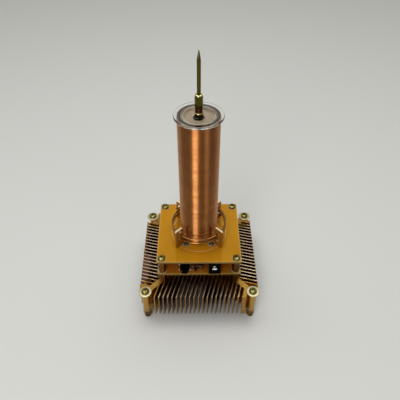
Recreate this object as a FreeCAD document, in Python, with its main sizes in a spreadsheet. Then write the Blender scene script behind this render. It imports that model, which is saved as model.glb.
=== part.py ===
import FreeCAD, Part
import math
import os
import Sketcher

# Desktop resonant transformer: an air-cored high-voltage demonstration coil on a finned heat sink.
# Millimetres, +Z up, origin on the table under the middle of the heat sink, front edge at -Y.

# Driving dimensions: alias, value, meaning
SIZES = (
    ("sink_side", 92.0, "heat sink, over the fin ends"),
    ("sink_height", 22.0, "heat sink, length of the extrusion"),
    ("core_diameter", 36.0, "heat sink, round core in the middle"),
    ("arm_width", 4.5, "heat sink, diagonal arms"),
    ("post_inset", 4.75, "heat sink, centres of the corner posts inside the fin ends"),
    ("post_diameter", 5.7, "heat sink, corner posts"),
    ("fin_thickness", 0.8, "heat sink, thin fins"),
    ("fin_count", 20, "heat sink, thin fins on one side"),
    ("fin_slant", 15.0, "heat sink, lean of the fins, degrees"),
    ("fin_start", 11.7, "heat sink, corner of the square to the middle of the first fin"),
    ("fin_end", 9.97, "heat sink, end of each row of fins to the next corner of the square"),
    ("land_width", 3.3, "heat sink, thick web that ends each row of fins"),
    ("foot_height", 7.0, "spacers that the heat sink stands on"),
    ("hex_flats", 5.5, "all hexagonal spacers, across flats"),
    ("foot_bevel", 0.6, "lower corners of the foot spacers"),
    ("foot_hole_depth", 4.5, "threaded holes in the foot spacers, from below"),
    ("screw_diameter", 3.0, "main screws and spacer studs"),
    ("screw_head_diameter", 6.0, "main screws, pan head"),
    ("screw_head_height", 2.1, "main screws, pan head"),
    ("screw_length", 8.0, "main screws, under the head"),
    ("stud_length", 6.0, "studs of the spacers, past what they clamp"),
    ("hole_depth", 7.0, "threaded holes in the spacers and the heat sink"),
    ("fit", 0.05, "radial clearance of screws, pins and spigots in their holes"),
    ("cut_margin", 1.0, "how far a cutting shape runs past the face it cuts"),
    ("loose_fit", 0.25, "radial clearance of screws through boards and washers"),
    ("washer_diameter", 9.9, "corner washers"),
    ("washer_thickness", 0.8, "corner washers"),
    ("board_side", 64.0, "both boards"),
    ("board_thickness", 1.6, "both boards and the primary supports"),
    ("board_corner", 1.0, "rounded corners of the boards"),
    ("board_hole_span", 56.5, "boards, fixing holes, centre to centre"),
    ("lower_gap", 9.0, "heat sink to driver board"),
    ("upper_gap", 12.0, "driver board to top board"),
    ("tube_diameter", 28.0, "secondary tube, outside"),
    ("tube_wall", 2.0, "secondary tube"),
    ("tube_length", 107.4, "secondary tube"),
    ("tube_clearance", 0.2, "secondary tube in the top board, radial"),
    ("winding_wall", 0.3, "secondary winding, over the tube"),
    ("winding_start", 1.0, "secondary winding, above the top board"),
    ("winding_end", 1.0, "secondary winding, short of the tube's top"),
    ("top_disc_rim", 2.5, "clear disc on the tube, past the tube all round"),
    ("top_disc_thickness", 1.5, "clear disc on the tube"),
    ("disc_edge", 0.3, "clear disc, eased rim"),
    ("base_disc_rim", 5.0, "disc under the top board, past the tube all round"),
    ("base_disc_thickness", 3.0, "disc under the top board"),
    ("spigot_length", 4.0, "both discs, length inside the tube"),
    ("base_screw_offset", 2.87, "small screws, centres outside the tube"),
    ("base_screw_angle", 54.9, "small screws, degrees round from the left-to-right line"),
    ("base_screw_diameter", 2.0, "small screws"),
    ("base_screw_head", 4.2, "small screws, pan head"),
    ("base_screw_head_height", 1.5, "small screws, pan head"),
    ("base_screw_length", 4.0, "small screws, under the head"),
    ("primary_offset", 6.7, "primary, middle of the wire outside the tube"),
    ("primary_wire", 1.5, "primary wire"),
    ("primary_quarters", 9, "primary, quarter turns between its two end supports"),
    ("primary_pitch", 3.4, "primary, rise of each turn"),
    ("primary_start", 6.5, "primary, height of its lower end over the board"),
    ("primary_tail", 5.0, "primary, straight end past each end support"),
    ("support_inside", 3.3, "primary supports, inner edge inside the wire's middle"),
    ("support_outside", 4.1, "primary supports, outer edge outside the wire's middle"),
    ("support_height", 17.4, "primary supports, over the board"),
    ("support_tab", 4.0, "primary supports, width of the tab in the board"),
    ("support_corner", 0.8, "primary supports, cut top corners"),
    ("wire_clearance", 0.2, "primary wire in the supports, radial"),
    ("needle_diameter", 2.5, "needle electrode"),
    ("needle_tip_length", 6.1, "needle electrode, cone"),
    ("needle_tip_radius", 0.3, "needle electrode, round end of the cone"),
    ("needle_free", 22.1, "needle electrode, rod between collar and cone"),
    ("needle_seat", 5.0, "needle electrode, length inside the collar"),
    ("collar_diameter", 5.3, "smooth collar"),
    ("collar_length", 8.5, "smooth collar"),
    ("collar_round", 1.2, "smooth collar, rounded top"),
    ("bush_diameter", 5.65, "threaded bush on the disc"),
    ("bush_length", 5.7, "threaded bush on the disc"),
    ("bush_groove", 0.35, "groove between bush and collar"),
    ("nut_height", 2.4, "nut under the disc"),
    ("nut_stick_out", 1.0, "stud past the nut under the disc"),
    ("tag_diameter", 7.7, "solder tag under the disc"),
    ("tag_thickness", 0.4, "solder tag under the disc"),
    ("link_pitch", 2.54, "pins between the boards, spacing"),
    ("link_pin", 0.64, "pins between the boards, square side"),
    ("link_back", 27.0, "pins between the boards, behind the middle"),
    ("link_strip", 2.5, "strip that holds the pins"),
    ("link_stick_out", 1.0, "pins past the outer faces of the boards"),
    ("pad_thickness", 0.3, "insulating pad under the transistor"),
    ("pad_margin", 1.5, "insulating pad past the transistor, all round"),
    ("tab_length", 15.6, "transistor, metal tab and case together"),
    ("tab_width", 10.0, "transistor"),
    ("tab_thickness", 1.3, "transistor, metal tab"),
    ("case_length", 9.0, "transistor, case"),
    ("case_height", 4.4, "transistor, tab and case"),
    ("transistor_screw_back", 6.0, "transistor screw, behind the middle"),
    ("transistor_screw_edge", 2.8, "transistor screw, from the end of the tab"),
    ("leg_pitch", 2.54, "transistor legs"),
    ("leg_width", 0.8, "transistor legs"),
    ("leg_thickness", 0.5, "transistor legs"),
    ("leg_rise", 2.6, "transistor legs, over the pad"),
    ("leg_reach", 16.5, "transistor legs, screw to their upright part"),
    ("jack_width", 9.0, "power socket"),
    ("jack_length", 14.2, "power socket"),
    ("jack_height", 10.9, "power socket"),
    ("jack_bore", 6.3, "power socket, bore"),
    ("jack_bore_depth", 9.5, "power socket, bore"),
    ("jack_axis_height", 6.4, "power socket, bore over the board"),
    ("jack_offset", 11.9, "power socket, to the right of the middle"),
    ("jack_pin", 2.1, "power socket, centre pin"),
    ("jack_pin_root", 2.6, "power socket, centre pin behind the bore"),
    ("jack_pin_recess", 1.0, "power socket, pin behind the front face"),
    ("jack_front_step", 3.2, "power socket, length of the full-height front"),
    ("leaf_width", 3.6, "power socket, spring leaf"),
    ("leaf_sheet", 0.4, "power socket, spring leaf"),
    ("leaf_hump", 0.6, "power socket, spring leaf, height of its bend"),
    ("leaf_bend_run", 1.0, "power socket, spring leaf, half the length of its bend"),
    ("leaf_sink", 0.1, "power socket, spring leaf below the bore"),
    ("leaf_recess", 1.0, "power socket, spring leaf behind the front face"),
    ("audio_offset", 11.0, "audio socket, to the left of the middle"),
    ("audio_width", 7.0, "audio socket, body"),
    ("audio_length", 11.0, "audio socket, body"),
    ("audio_height", 5.0, "audio socket, body"),
    ("audio_nose_diameter", 5.0, "audio socket, nose"),
    ("audio_nose_length", 3.0, "audio socket, nose"),
    ("audio_bore", 3.6, "audio socket, bore"),
    ("audio_bore_depth", 12.0, "audio socket, bore"),
    ("tab_reach", 1.4, "audio socket, solder tabs"),
    ("tab_breadth", 1.6, "audio socket, solder tabs"),
    ("tab_sheet", 0.5, "audio socket, solder tabs"),
    ("tab_first", 1.2, "audio socket, first tabs behind the body's front"),
    ("tab_spacing", 5.0, "audio socket, first to second tabs"),
    ("switch_offset", 1.7, "slide switch, to the left of the middle"),
    ("switch_setback", 4.4, "slide switch, front face behind the board edge"),
    ("switch_width", 8.6, "slide switch, shell"),
    ("switch_depth", 4.4, "slide switch, shell"),
    ("switch_height", 3.9, "slide switch, shell"),
    ("switch_sheet", 0.3, "slide switch, sheet of the shell"),
    ("switch_travel", 2.0, "slide switch, travel of the slider"),
    ("slider_width", 2.0, "slide switch, knob"),
    ("slider_height", 1.6, "slide switch, knob"),
    ("slider_reach", 2.6, "slide switch, knob in front of the shell"),
    ("slider_depth", 1.2, "slide switch, plate behind the window"),
    ("running_gap", 0.1, "slide switch, slider to shell and base"),
    ("chip_right", 12.0, "driver chip, right of the middle"),
    ("chip_back", 3.0, "driver chip, behind the middle"),
    ("chip_width", 3.9, "driver chip"),
    ("chip_length", 4.9, "driver chip"),
    ("chip_height", 1.5, "driver chip"),
    ("chip_pitch", 1.27, "driver chip, spacing of its legs"),
    ("chip_leg", 1.05, "driver chip, reach of its legs"),
    ("chip_leg_width", 0.42, "driver chip, width of its legs"),
    ("can_left", 22.0, "bulk capacitor, left of the middle"),
    ("can_back", 14.0, "bulk capacitor, behind the middle"),
    ("can_diameter", 8.0, "bulk capacitor"),
    ("can_height", 11.0, "bulk capacitor"),
    ("can_bead", 1.6, "bulk capacitor, height of its rolled groove"),
    ("can_bead_depth", 0.4, "bulk capacitor, depth of its rolled groove"),
    ("can_edge", 0.5, "bulk capacitor, bevelled top edge"),
    ("film_right", 23.0, "film capacitor, right of the middle"),
    ("film_back", 11.0, "film capacitor, behind the middle"),
    ("film_width", 5.0, "film capacitor"),
    ("film_length", 13.0, "film capacitor"),
    ("film_height", 10.0, "film capacitor"),
    ("small_length", 2.0, "chip parts"),
    ("small_width", 1.25, "chip parts"),
    ("small_height", 0.6, "chip parts"),
    ("small_spacing", 3.2, "chip parts"),
)

doc = FreeCAD.newDocument("resonant_transformer")
sheet = doc.addObject("Spreadsheet::Sheet", "sizes")
for row, (alias, value, meaning) in enumerate(SIZES, start=1):
    sheet.set(f"A{row}", meaning)
    sheet.set(f"B{row}", str(value))
    sheet.setAlias(f"B{row}", alias)

# Worked out from the driving dimensions: heights over the table, then radii, spacings and places
LEVELS = (
    ("sink_top", "sizes.foot_height + sizes.sink_height"),
    ("driver_base", "levels.sink_top + sizes.lower_gap"),
    ("driver_top", "levels.driver_base + sizes.board_thickness"),
    ("top_board_base", "levels.driver_top + sizes.upper_gap"),
    ("top_board_top", "levels.top_board_base + sizes.board_thickness"),
    ("tube_top", "levels.top_board_base + sizes.tube_length"),
    ("disc_top", "levels.tube_top + sizes.top_disc_thickness"),
    ("bush_top", "levels.disc_top + sizes.bush_length"),
    ("collar_top", "levels.bush_top + sizes.collar_length"),
    ("board_front", "-sizes.board_side / 2"),
    ("post", "sizes.sink_side / 2 - sizes.post_inset"),
    ("fin_along", "sizes.fin_thickness / cos(sizes.fin_slant * 1 deg)"),
    ("fin_first", "-sizes.sink_side / 2 + sizes.fin_start - levels.fin_along / 2"),
    ("web_right", "sizes.sink_side / 2 - sizes.fin_end"),
    ("fin_pitch", "(levels.web_right - sizes.land_width - levels.fin_first) / sizes.fin_count"),
    ("primary_radius", "sizes.tube_diameter / 2 + sizes.primary_offset"),
    ("support_inner", "levels.primary_radius - sizes.support_inside"),
    ("support_outer", "levels.primary_radius + sizes.support_outside"),
    ("base_screw_circle", "sizes.tube_diameter / 2 + sizes.base_screw_offset"),
    ("base_screw_x", "levels.base_screw_circle * cos(sizes.base_screw_angle * 1 deg)"),
    ("base_screw_y", "levels.base_screw_circle * sin(sizes.base_screw_angle * 1 deg)"),
)
levels = doc.addObject("Spreadsheet::Sheet", "levels")
for row, (alias, formula) in enumerate(LEVELS, start=1):
    levels.set(f"A{row}", alias)
    levels.set(f"B{row}", "=" + formula)
    levels.setAlias(f"B{row}", alias)
doc.recompute()

nodes = []


def size(name):
    """Value of a driving dimension."""
    return float(sheet.get(name))


def level(name):
    """Value worked out from the driving dimensions."""
    return float(levels.get(name))


def keep(piece, name):
    """Name a finished piece and put it on the list of pieces to write."""
    piece.Label = name
    nodes.append(piece)
    return piece


def origin_feature(body, role):
    """Origin plane or axis of a body, found by its role."""
    return [feature for feature in body.Origin.OriginFeatures if feature.Role == role][0]


def new_body(name):
    return doc.addObject("PartDesign::Body", name)


def new_sketch(body, name, role="XY_Plane", x="0", y="0", z="0"):
    """Sketch on an origin plane of the body, shifted along the plane's own axes."""
    sketch = body.newObject("Sketcher::SketchObject", name)
    sketch.AttachmentSupport = (origin_feature(body, role), [""])
    sketch.MapMode = "FlatFace"
    for axis, shift in (("x", x), ("y", y), ("z", z)):
        sketch.setExpression(f".AttachmentOffset.Base.{axis}", shift)
    return sketch


def pin_point(sketch, geometry, end, x, y):
    """Hold a point of the sketch at two formulas."""
    for kind, formula in (("DistanceX", x), ("DistanceY", y)):
        number = sketch.addConstraint(Sketcher.Constraint(kind, -1, 1, geometry, end, 1.0))
        sketch.setExpression(f"Constraints[{number}]", formula)


def add_outline(sketch, corners):
    """Closed straight-sided outline; each corner is a pair of formulas."""
    count = len(corners)
    first = sketch.GeometryCount
    for index in range(count):
        start_angle = 2 * math.pi * index / count
        end_angle = 2 * math.pi * (index + 1) / count
        start = FreeCAD.Vector(math.cos(start_angle), math.sin(start_angle), 0)
        end = FreeCAD.Vector(math.cos(end_angle), math.sin(end_angle), 0)
        sketch.addGeometry(Part.LineSegment(start, end), False)
    for index in range(count):
        following = first + (index + 1) % count
        sketch.addConstraint(Sketcher.Constraint("Coincident", first + index, 2, following, 1))
    for index, (x, y) in enumerate(corners):
        pin_point(sketch, first + index, 1, x, y)


def add_rectangle(sketch, x, y, width, height):
    """Rectangle about the point x, y; all four are formulas."""
    left = f"({x}) - ({width}) / 2"
    right = f"({x}) + ({width}) / 2"
    low = f"({y}) - ({height}) / 2"
    high = f"({y}) + ({height}) / 2"
    add_outline(sketch, ((left, low), (right, low), (right, high), (left, high)))


def add_circle(sketch, x, y, diameter):
    """Circle about the point x, y; all three are formulas."""
    centre = FreeCAD.Vector(0, 0, 0)
    normal = FreeCAD.Vector(0, 0, 1)
    geometry = sketch.addGeometry(Part.Circle(centre, normal, 1.0), False)
    number = sketch.addConstraint(Sketcher.Constraint("Diameter", geometry, 2.0))
    sketch.setExpression(f"Constraints[{number}]", diameter)
    pin_point(sketch, geometry, 3, x, y)


def add_hexagon(sketch, x, y, flats):
    """Regular hexagon about the point x, y, with two flats square to Y."""
    corners = []
    for index in range(6):
        angle = 60 * index
        reach = f"({flats}) / 2 / cos(30 deg)"
        corners.append((f"({x}) + {reach} * cos({angle} deg)", f"({y}) + {reach} * sin({angle} deg)"))
    add_outline(sketch, corners)


def finish_feature(body, feature):
    body.Tip = feature
    doc.recompute()
    return feature


def pad(body, sketch, length, midplane=False):
    feature = body.newObject("PartDesign::Pad", sketch.Name + "_pad")
    feature.Profile = sketch
    feature.Midplane = midplane
    feature.setExpression("Length", length)
    return finish_feature(body, feature)


def pocket(body, sketch, length=None, upward=False, midplane=False):
    """Cut downward from the sketch, to a depth or, with no length, through everything."""
    feature = body.newObject("PartDesign::Pocket", sketch.Name + "_pocket")
    feature.Profile = sketch
    feature.Reversed = upward
    feature.Midplane = midplane
    if length is None:
        feature.Type = "ThroughAll"
    else:
        feature.setExpression("Length", length)
    return finish_feature(body, feature)


def revolve(body, sketch, cut=False):
    """Turn the sketch about its own vertical axis."""
    kind = "PartDesign::Groove" if cut else "PartDesign::Revolution"
    feature = body.newObject(kind, sketch.Name + "_turned")
    feature.Profile = sketch
    feature.ReferenceAxis = (sketch, ["V_Axis"])
    feature.Angle = 360
    return finish_feature(body, feature)


def four_round(body, features):
    """Repeat features at the four corners, about the vertical axis."""
    feature = body.newObject("PartDesign::PolarPattern", features[0].Name + "_four")
    feature.Originals = features
    feature.Axis = (origin_feature(body, "Z_Axis"), [""])
    feature.Angle = 360
    feature.Occurrences = 4
    return finish_feature(body, feature)


def bound_box(name, length, width, height, x, y, z):
    """Box centred on x, y, with its base at z; every value is a formula."""
    box = doc.addObject("Part::Box", name)
    box.setExpression("Length", length)
    box.setExpression("Width", width)
    box.setExpression("Height", height)
    box.setExpression(".Placement.Base.x", f"({x}) - ({length}) / 2")
    box.setExpression(".Placement.Base.y", f"({y}) - ({width}) / 2")
    box.setExpression(".Placement.Base.z", z)
    return box


def bound_cylinder(name, diameter, height, x, y, z):
    """Upright cylinder on x, y, with its base at z; every value is a formula."""
    cylinder = doc.addObject("Part::Cylinder", name)
    cylinder.setExpression("Radius", f"({diameter}) / 2")
    cylinder.setExpression("Height", height)
    cylinder.setExpression(".Placement.Base.x", x)
    cylinder.setExpression(".Placement.Base.y", y)
    cylinder.setExpression(".Placement.Base.z", z)
    return cylinder


def lying_cylinder(name, diameter, length, x, y, z):
    """Cylinder that runs back from x, y, z along +Y; every value is a formula."""
    cylinder = bound_cylinder(name, diameter, length, x, y, z)
    cylinder.Placement.Rotation = FreeCAD.Rotation(FreeCAD.Vector(1, 0, 0), -90)
    return cylinder


def join(name, pieces):
    fuse = doc.addObject("Part::MultiFuse", name)
    fuse.Shapes = pieces
    fuse.Refine = True
    return fuse


def cut(name, base, tool):
    result = doc.addObject("Part::Cut", name)
    result.Base = base
    result.Tool = tool
    return result


def group(name, pieces):
    """Identical separate pieces that share one node."""
    compound = doc.addObject("Part::Compound", name)
    compound.Links = pieces
    return compound


# Formulas used by several pieces
POST = "levels.post"
HOLE = "sizes.board_hole_span / 2"
SCREW_HOLE = "sizes.screw_diameter + 2 * sizes.fit"
LOOSE_HOLE = "sizes.screw_diameter + 2 * sizes.loose_fit"
HALF_SIDE = "sizes.sink_side / 2"
SLANT = "(sizes.fin_slant * 1 deg)"


# Heat sink: fins of one side
# Each side is a slab between two diagonal arms, slit by slanted gaps. The slab ends at the left side of
# the first fin and at the right side of a thick web beside the corner post.
LEFT_RUN = f"((levels.fin_first + {HALF_SIDE}) / (1 - tan({SLANT})))"
RIGHT_RUN = f"(({HALF_SIDE} - levels.web_right) / (1 + tan({SLANT})))"


def fin_row(name, turn):
    """Slanted fins of one side of the heat sink, turned about the vertical axis to their side."""
    body = new_body(name)
    slab = new_sketch(body, name + "_slab", z="sizes.foot_height")
    add_outline(slab, (
        ("0", "0"),
        (f"levels.fin_first + {LEFT_RUN} * tan({SLANT})", f"-{HALF_SIDE} + {LEFT_RUN}"),
        ("levels.fin_first", f"-{HALF_SIDE}"),
        ("levels.web_right", f"-{HALF_SIDE}"),
        (f"levels.web_right + {RIGHT_RUN} * tan({SLANT})", f"-{HALF_SIDE} + {RIGHT_RUN}"),
    ))
    pad(body, slab, "sizes.sink_height")
    gap = new_sketch(body, name + "_gap", z="levels.sink_top")
    outer_left = f"levels.fin_first + levels.fin_along - tan({SLANT}) * sizes.cut_margin"
    outer_right = f"levels.fin_first + levels.fin_pitch - tan({SLANT}) * sizes.cut_margin"
    lean = f"({HALF_SIDE} + sizes.cut_margin) * tan({SLANT})"
    add_outline(gap, (
        (outer_left, f"-{HALF_SIDE} - sizes.cut_margin"),
        (outer_right, f"-{HALF_SIDE} - sizes.cut_margin"),
        (f"{outer_right} + {lean}", "0"),
        (f"{outer_left} + {lean}", "0"),
    ))
    first_gap = pocket(body, gap)
    gaps = body.newObject("PartDesign::LinearPattern", name + "_gaps")
    gaps.Originals = [first_gap]
    gaps.Direction = (gap, ["H_Axis"])
    gaps.setExpression("Length", "levels.fin_pitch * (sizes.fin_count - 1)")
    gaps.setExpression("Occurrences", "sizes.fin_count")
    finish_feature(body, gaps)
    body.Placement.Rotation = FreeCAD.Rotation(FreeCAD.Vector(0, 0, 1), turn)
    return body


def sink_frame():
    """Core, diagonal arms and corner posts of the heat sink."""
    body = new_body("sink_frame")
    core = new_sketch(body, "sink_core", z="sizes.foot_height")
    add_circle(core, "0", "0", "sizes.core_diameter")
    pad(body, core, "sizes.sink_height")
    arm = new_sketch(body, "sink_arm", z="sizes.foot_height")
    side = "sizes.arm_width / 2 * sin(45 deg)"
    add_outline(arm, (
        (side, f"-{side}"),
        (f"{POST} + {side}", f"{POST} - {side}"),
        (f"{POST} - {side}", f"{POST} + {side}"),
        (f"-{side}", side),
    ))
    arm_pad = pad(body, arm, "sizes.sink_height")
    post = new_sketch(body, "sink_post", z="sizes.foot_height")
    add_circle(post, POST, POST, "sizes.post_diameter")
    post_pad = pad(body, post, "sizes.sink_height")
    four_round(body, [arm_pad, post_pad])
    return body


def sink_holes():
    """Screw holes through the posts and down into the arms and the core."""
    body = new_body("sink_holes")
    post_hole = new_sketch(body, "post_hole", z="sizes.foot_height - sizes.cut_margin")
    add_circle(post_hole, POST, POST, SCREW_HOLE)
    post_pad = pad(body, post_hole, "sizes.sink_height + 2 * sizes.cut_margin")
    arm_hole = new_sketch(body, "arm_hole", z="levels.sink_top - sizes.hole_depth")
    add_circle(arm_hole, HOLE, HOLE, SCREW_HOLE)
    arm_pad = pad(body, arm_hole, "sizes.hole_depth + sizes.cut_margin")
    four_round(body, [post_pad, arm_pad])
    core_hole = new_sketch(body, "core_hole", z="levels.sink_top - sizes.hole_depth")
    add_circle(core_hole, "0", "sizes.transistor_screw_back", SCREW_HOLE)
    pad(body, core_hole, "sizes.hole_depth + sizes.cut_margin")
    return body


rows = [fin_row(f"fin_row_{turn}", turn) for turn in (0, 90, 180, 270)]
solid_sink = join("solid_sink", [sink_frame()] + rows)
keep(cut("heatsink", solid_sink, sink_holes()), "heatsink")


# Screws, washers and spacers
# Outline of a pan head: share of the head's radius, share of its height
PAN_HEAD = ((1.0, 0.0), (1.0, 0.45), (0.88, 0.74), (0.64, 0.93), (0.36, 1.0))


def pan_screw(name, x, y, under_head, diameter, head, head_height, length):
    """Pan-head screw turned about the upright line through x, y."""
    body = new_body(name)
    profile = new_sketch(body, name + "_profile", "XZ_Plane", x, under_head, f"-({y})")
    chamfer = f"{diameter} / 8"
    outline = [
        ("0", f"-({length})"),
        (f"{diameter} / 2 - {chamfer}", f"-({length})"),
        (f"{diameter} / 2", f"-({length}) + {chamfer}"),
        (f"{diameter} / 2", "0"),
    ]
    for radius_share, height_share in PAN_HEAD:
        outline.append((f"{head} / 2 * {radius_share}", f"{head_height} * {height_share}"))
    outline.append(("0", head_height))
    add_outline(profile, outline)
    revolve(body, profile)
    return body


def hex_spacer(name, half_span, bottom, height, stud_base, stud_top, hole_base, hole_depth):
    """Hexagonal spacer with a stud on one end and a threaded hole in the other, and its features."""
    body = new_body(name)
    hexagon = new_sketch(body, name + "_hexagon", z=bottom)
    add_hexagon(hexagon, half_span, half_span, "sizes.hex_flats")
    prism = pad(body, hexagon, height)
    stud = new_sketch(body, name + "_stud", z=stud_base)
    add_circle(stud, half_span, half_span, "sizes.screw_diameter")
    stud_pad = pad(body, stud, f"{stud_top} - ({stud_base})")
    hole = new_sketch(body, name + "_hole", z=hole_base)
    add_circle(hole, half_span, half_span, SCREW_HOLE)
    hole_cut = pocket(body, hole, hole_depth, upward=True)
    return body, [prism, stud_pad, hole_cut]


# Foot spacers: threaded from below, stud up into the corner posts, lower corners bevelled
feet, foot_features = hex_spacer(
    "foot_spacers", POST, "0", "sizes.foot_height",
    "sizes.foot_height", "sizes.foot_height + sizes.stud_length", "0", "sizes.foot_hole_depth")
bevel = new_sketch(feet, "foot_bevel", "XZ_Plane", POST, "0", f"-{POST}")
bevel_foot = "sizes.hex_flats / 2 - sizes.foot_bevel / 2"
hex_corner = "sizes.hex_flats / 2 / cos(30 deg) + sizes.fit"
add_outline(bevel, (
    (bevel_foot, "-sizes.cut_margin"),
    (f"{hex_corner} + sizes.cut_margin", "-sizes.cut_margin"),
    (f"{hex_corner} + sizes.cut_margin", "2 * sizes.foot_bevel"),
    (hex_corner, "2 * sizes.foot_bevel"),
    (bevel_foot, "0"),
))
four_round(feet, foot_features + [revolve(feet, bevel, cut=True)])
keep(feet, "foot_spacers")

# Corner washers on the posts, and the corner screws on the washers
washers = new_body("corner_washers")
washer_ring = new_sketch(washers, "washer_ring", z="levels.sink_top")
add_circle(washer_ring, POST, POST, "sizes.washer_diameter")
add_circle(washer_ring, POST, POST, LOOSE_HOLE)
four_round(washers, [pad(washers, washer_ring, "sizes.washer_thickness")])
keep(washers, "corner_washers")

MAIN_SCREW = (
    "sizes.screw_diameter", "sizes.screw_head_diameter", "sizes.screw_head_height", "sizes.screw_length")
corner_screws = pan_screw(
    "corner_screws", POST, POST, "levels.sink_top + sizes.washer_thickness", *MAIN_SCREW)
four_round(corner_screws, [corner_screws.Tip])
keep(corner_screws, "corner_screws")

# Spacers under the driver board and between the boards
lower, lower_features = hex_spacer(
    "lower_spacers", HOLE, "levels.sink_top", "sizes.lower_gap",
    "levels.sink_top - sizes.stud_length", "levels.sink_top", "levels.driver_base - sizes.hole_depth",
    "sizes.hole_depth")
four_round(lower, lower_features)
keep(lower, "lower_spacers")
upper, upper_features = hex_spacer(
    "upper_spacers", HOLE, "levels.driver_top", "sizes.upper_gap",
    "levels.driver_base - sizes.stud_length", "levels.driver_top", "levels.top_board_base - sizes.hole_depth",
    "sizes.hole_depth")
four_round(upper, upper_features)
keep(upper, "upper_spacers")

board_screws = pan_screw("top_board_screws", HOLE, HOLE, "levels.top_board_top", *MAIN_SCREW)
four_round(board_screws, [board_screws.Tip])
keep(board_screws, "top_board_screws")


# Boards
def board(name, base):
    """Square board with rounded corners and a fixing hole near each corner."""
    body = new_body(name)
    outline = new_sketch(body, name + "_outline", z=base)
    add_rectangle(outline, "0", "0", "sizes.board_side", "sizes.board_side")
    slab = pad(body, outline, "sizes.board_thickness")
    upright = []
    for number, edge in enumerate(slab.Shape.Edges, start=1):
        if edge.BoundBox.ZLength > size("board_thickness") / 2:
            upright.append(f"Edge{number}")
    corners = body.newObject("PartDesign::Fillet", name + "_corners")
    corners.Base = (slab, upright)
    corners.setExpression("Radius", "sizes.board_corner")
    finish_feature(body, corners)
    hole = new_sketch(body, name + "_hole", z=f"{base} + sizes.board_thickness")
    add_circle(hole, HOLE, HOLE, LOOSE_HOLE)
    four_round(body, [pocket(body, hole)])
    return body


# The link between the boards is a row of square pins near the rear edge
LINK_COUNT = 4
link_places = [f"(sizes.link_pitch * {index - (LINK_COUNT - 1) / 2})" for index in range(LINK_COUNT)]
LINK_SLOT = "sizes.link_pin + 2 * sizes.fit"

driver_board = board("driver_board", "levels.driver_base")
pin_slots = new_sketch(driver_board, "driver_pin_slots", z="levels.driver_top")
for place in link_places:
    add_rectangle(pin_slots, place, "sizes.link_back", LINK_SLOT, LINK_SLOT)
leg_places = [f"(sizes.leg_pitch * {index})" for index in (-1, 0, 1)]
LEG_FRONT = "(sizes.transistor_screw_back - sizes.leg_reach)"
for place in leg_places:
    leg_width = "sizes.leg_width + 2 * sizes.fit"
    leg_thickness = "sizes.leg_thickness + 2 * sizes.fit"
    add_rectangle(pin_slots, place, LEG_FRONT, leg_width, leg_thickness)
pocket(driver_board, pin_slots)
keep(driver_board, "driver_board")

# Angles of the primary supports, counter-clockwise from +X seen from above
SUPPORTS = (
    ("primary_support_rear_right", 45, 0),
    ("primary_support_rear_left", 135, 0),
    ("primary_support_front_left", 225, 0),
    ("primary_support_front_right", 315, -1),
)
SUPPORT_MIDDLE = "((levels.support_inner + levels.support_outer) / 2)"

top_board = board("top_board", "levels.top_board_base")
openings = new_sketch(top_board, "top_board_openings", z="levels.top_board_top")
add_circle(openings, "0", "0", "sizes.tube_diameter + 2 * sizes.tube_clearance")
for place in link_places:
    add_rectangle(openings, place, "sizes.link_back", LINK_SLOT, LINK_SLOT)
for side_x in (-1, 1):
    for side_y in (-1, 1):
        x = f"({side_x} * levels.base_screw_x)"
        y = f"({side_y} * levels.base_screw_y)"
        add_circle(openings, x, y, "sizes.base_screw_diameter + 2 * sizes.loose_fit")
pocket(top_board, openings)
tab_slot = new_sketch(top_board, "tab_slot", z="levels.top_board_top")
along = "(sizes.support_tab / 2 + sizes.fit) * cos(45 deg)"
across = "(sizes.board_thickness / 2 + sizes.fit) * cos(45 deg)"
middle = f"{SUPPORT_MIDDLE} * cos(45 deg)"
add_outline(tab_slot, (
    (f"{middle} - {along} + {across}", f"{middle} - {along} - {across}"),
    (f"{middle} + {along} + {across}", f"{middle} + {along} - {across}"),
    (f"{middle} + {along} - {across}", f"{middle} + {along} + {across}"),
    (f"{middle} - {along} - {across}", f"{middle} - {along} + {across}"),
))
four_round(top_board, [pocket(top_board, tab_slot)])
keep(top_board, "top_board")


# Primary supports: upright plates with a tab in the board and three holes, one above another.
# The holes of each plate lie a quarter of the pitch higher than those of the plate before it.
def support(name, angle, first_hole):
    body = new_body(name)
    plate = new_sketch(body, name + "_plate", "XZ_Plane")
    foot = "levels.top_board_top"
    top = f"({foot} + sizes.support_height)"
    corner = "sizes.support_corner"
    add_outline(plate, (
        (f"{SUPPORT_MIDDLE} - sizes.support_tab / 2", "levels.top_board_base"),
        (f"{SUPPORT_MIDDLE} + sizes.support_tab / 2", "levels.top_board_base"),
        (f"{SUPPORT_MIDDLE} + sizes.support_tab / 2", foot),
        ("levels.support_outer", foot),
        ("levels.support_outer", f"{top} - {corner}"),
        (f"levels.support_outer - {corner}", top),
        (f"levels.support_inner + {corner}", top),
        ("levels.support_inner", f"{top} - {corner}"),
        ("levels.support_inner", foot),
        (f"{SUPPORT_MIDDLE} - sizes.support_tab / 2", foot),
    ))
    pad(body, plate, "sizes.board_thickness", midplane=True)
    holes = new_sketch(body, name + "_holes", "XZ_Plane")
    quarter = (angle - 45) // 90
    for index in range(3):
        turns = f"({quarter} / 4 + {first_hole + index})"
        rise = f"{foot} + sizes.primary_start + sizes.primary_pitch * {turns}"
        add_circle(holes, "levels.primary_radius", rise, "sizes.primary_wire + 2 * sizes.wire_clearance")
    pocket(body, holes, "sizes.board_thickness + 2 * sizes.cut_margin", midplane=True)
    body.Placement.Rotation = FreeCAD.Rotation(FreeCAD.Vector(0, 0, 1), angle)
    return keep(body, name)


for name, angle, first_hole in SUPPORTS:
    support(name, angle, first_hole)


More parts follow.
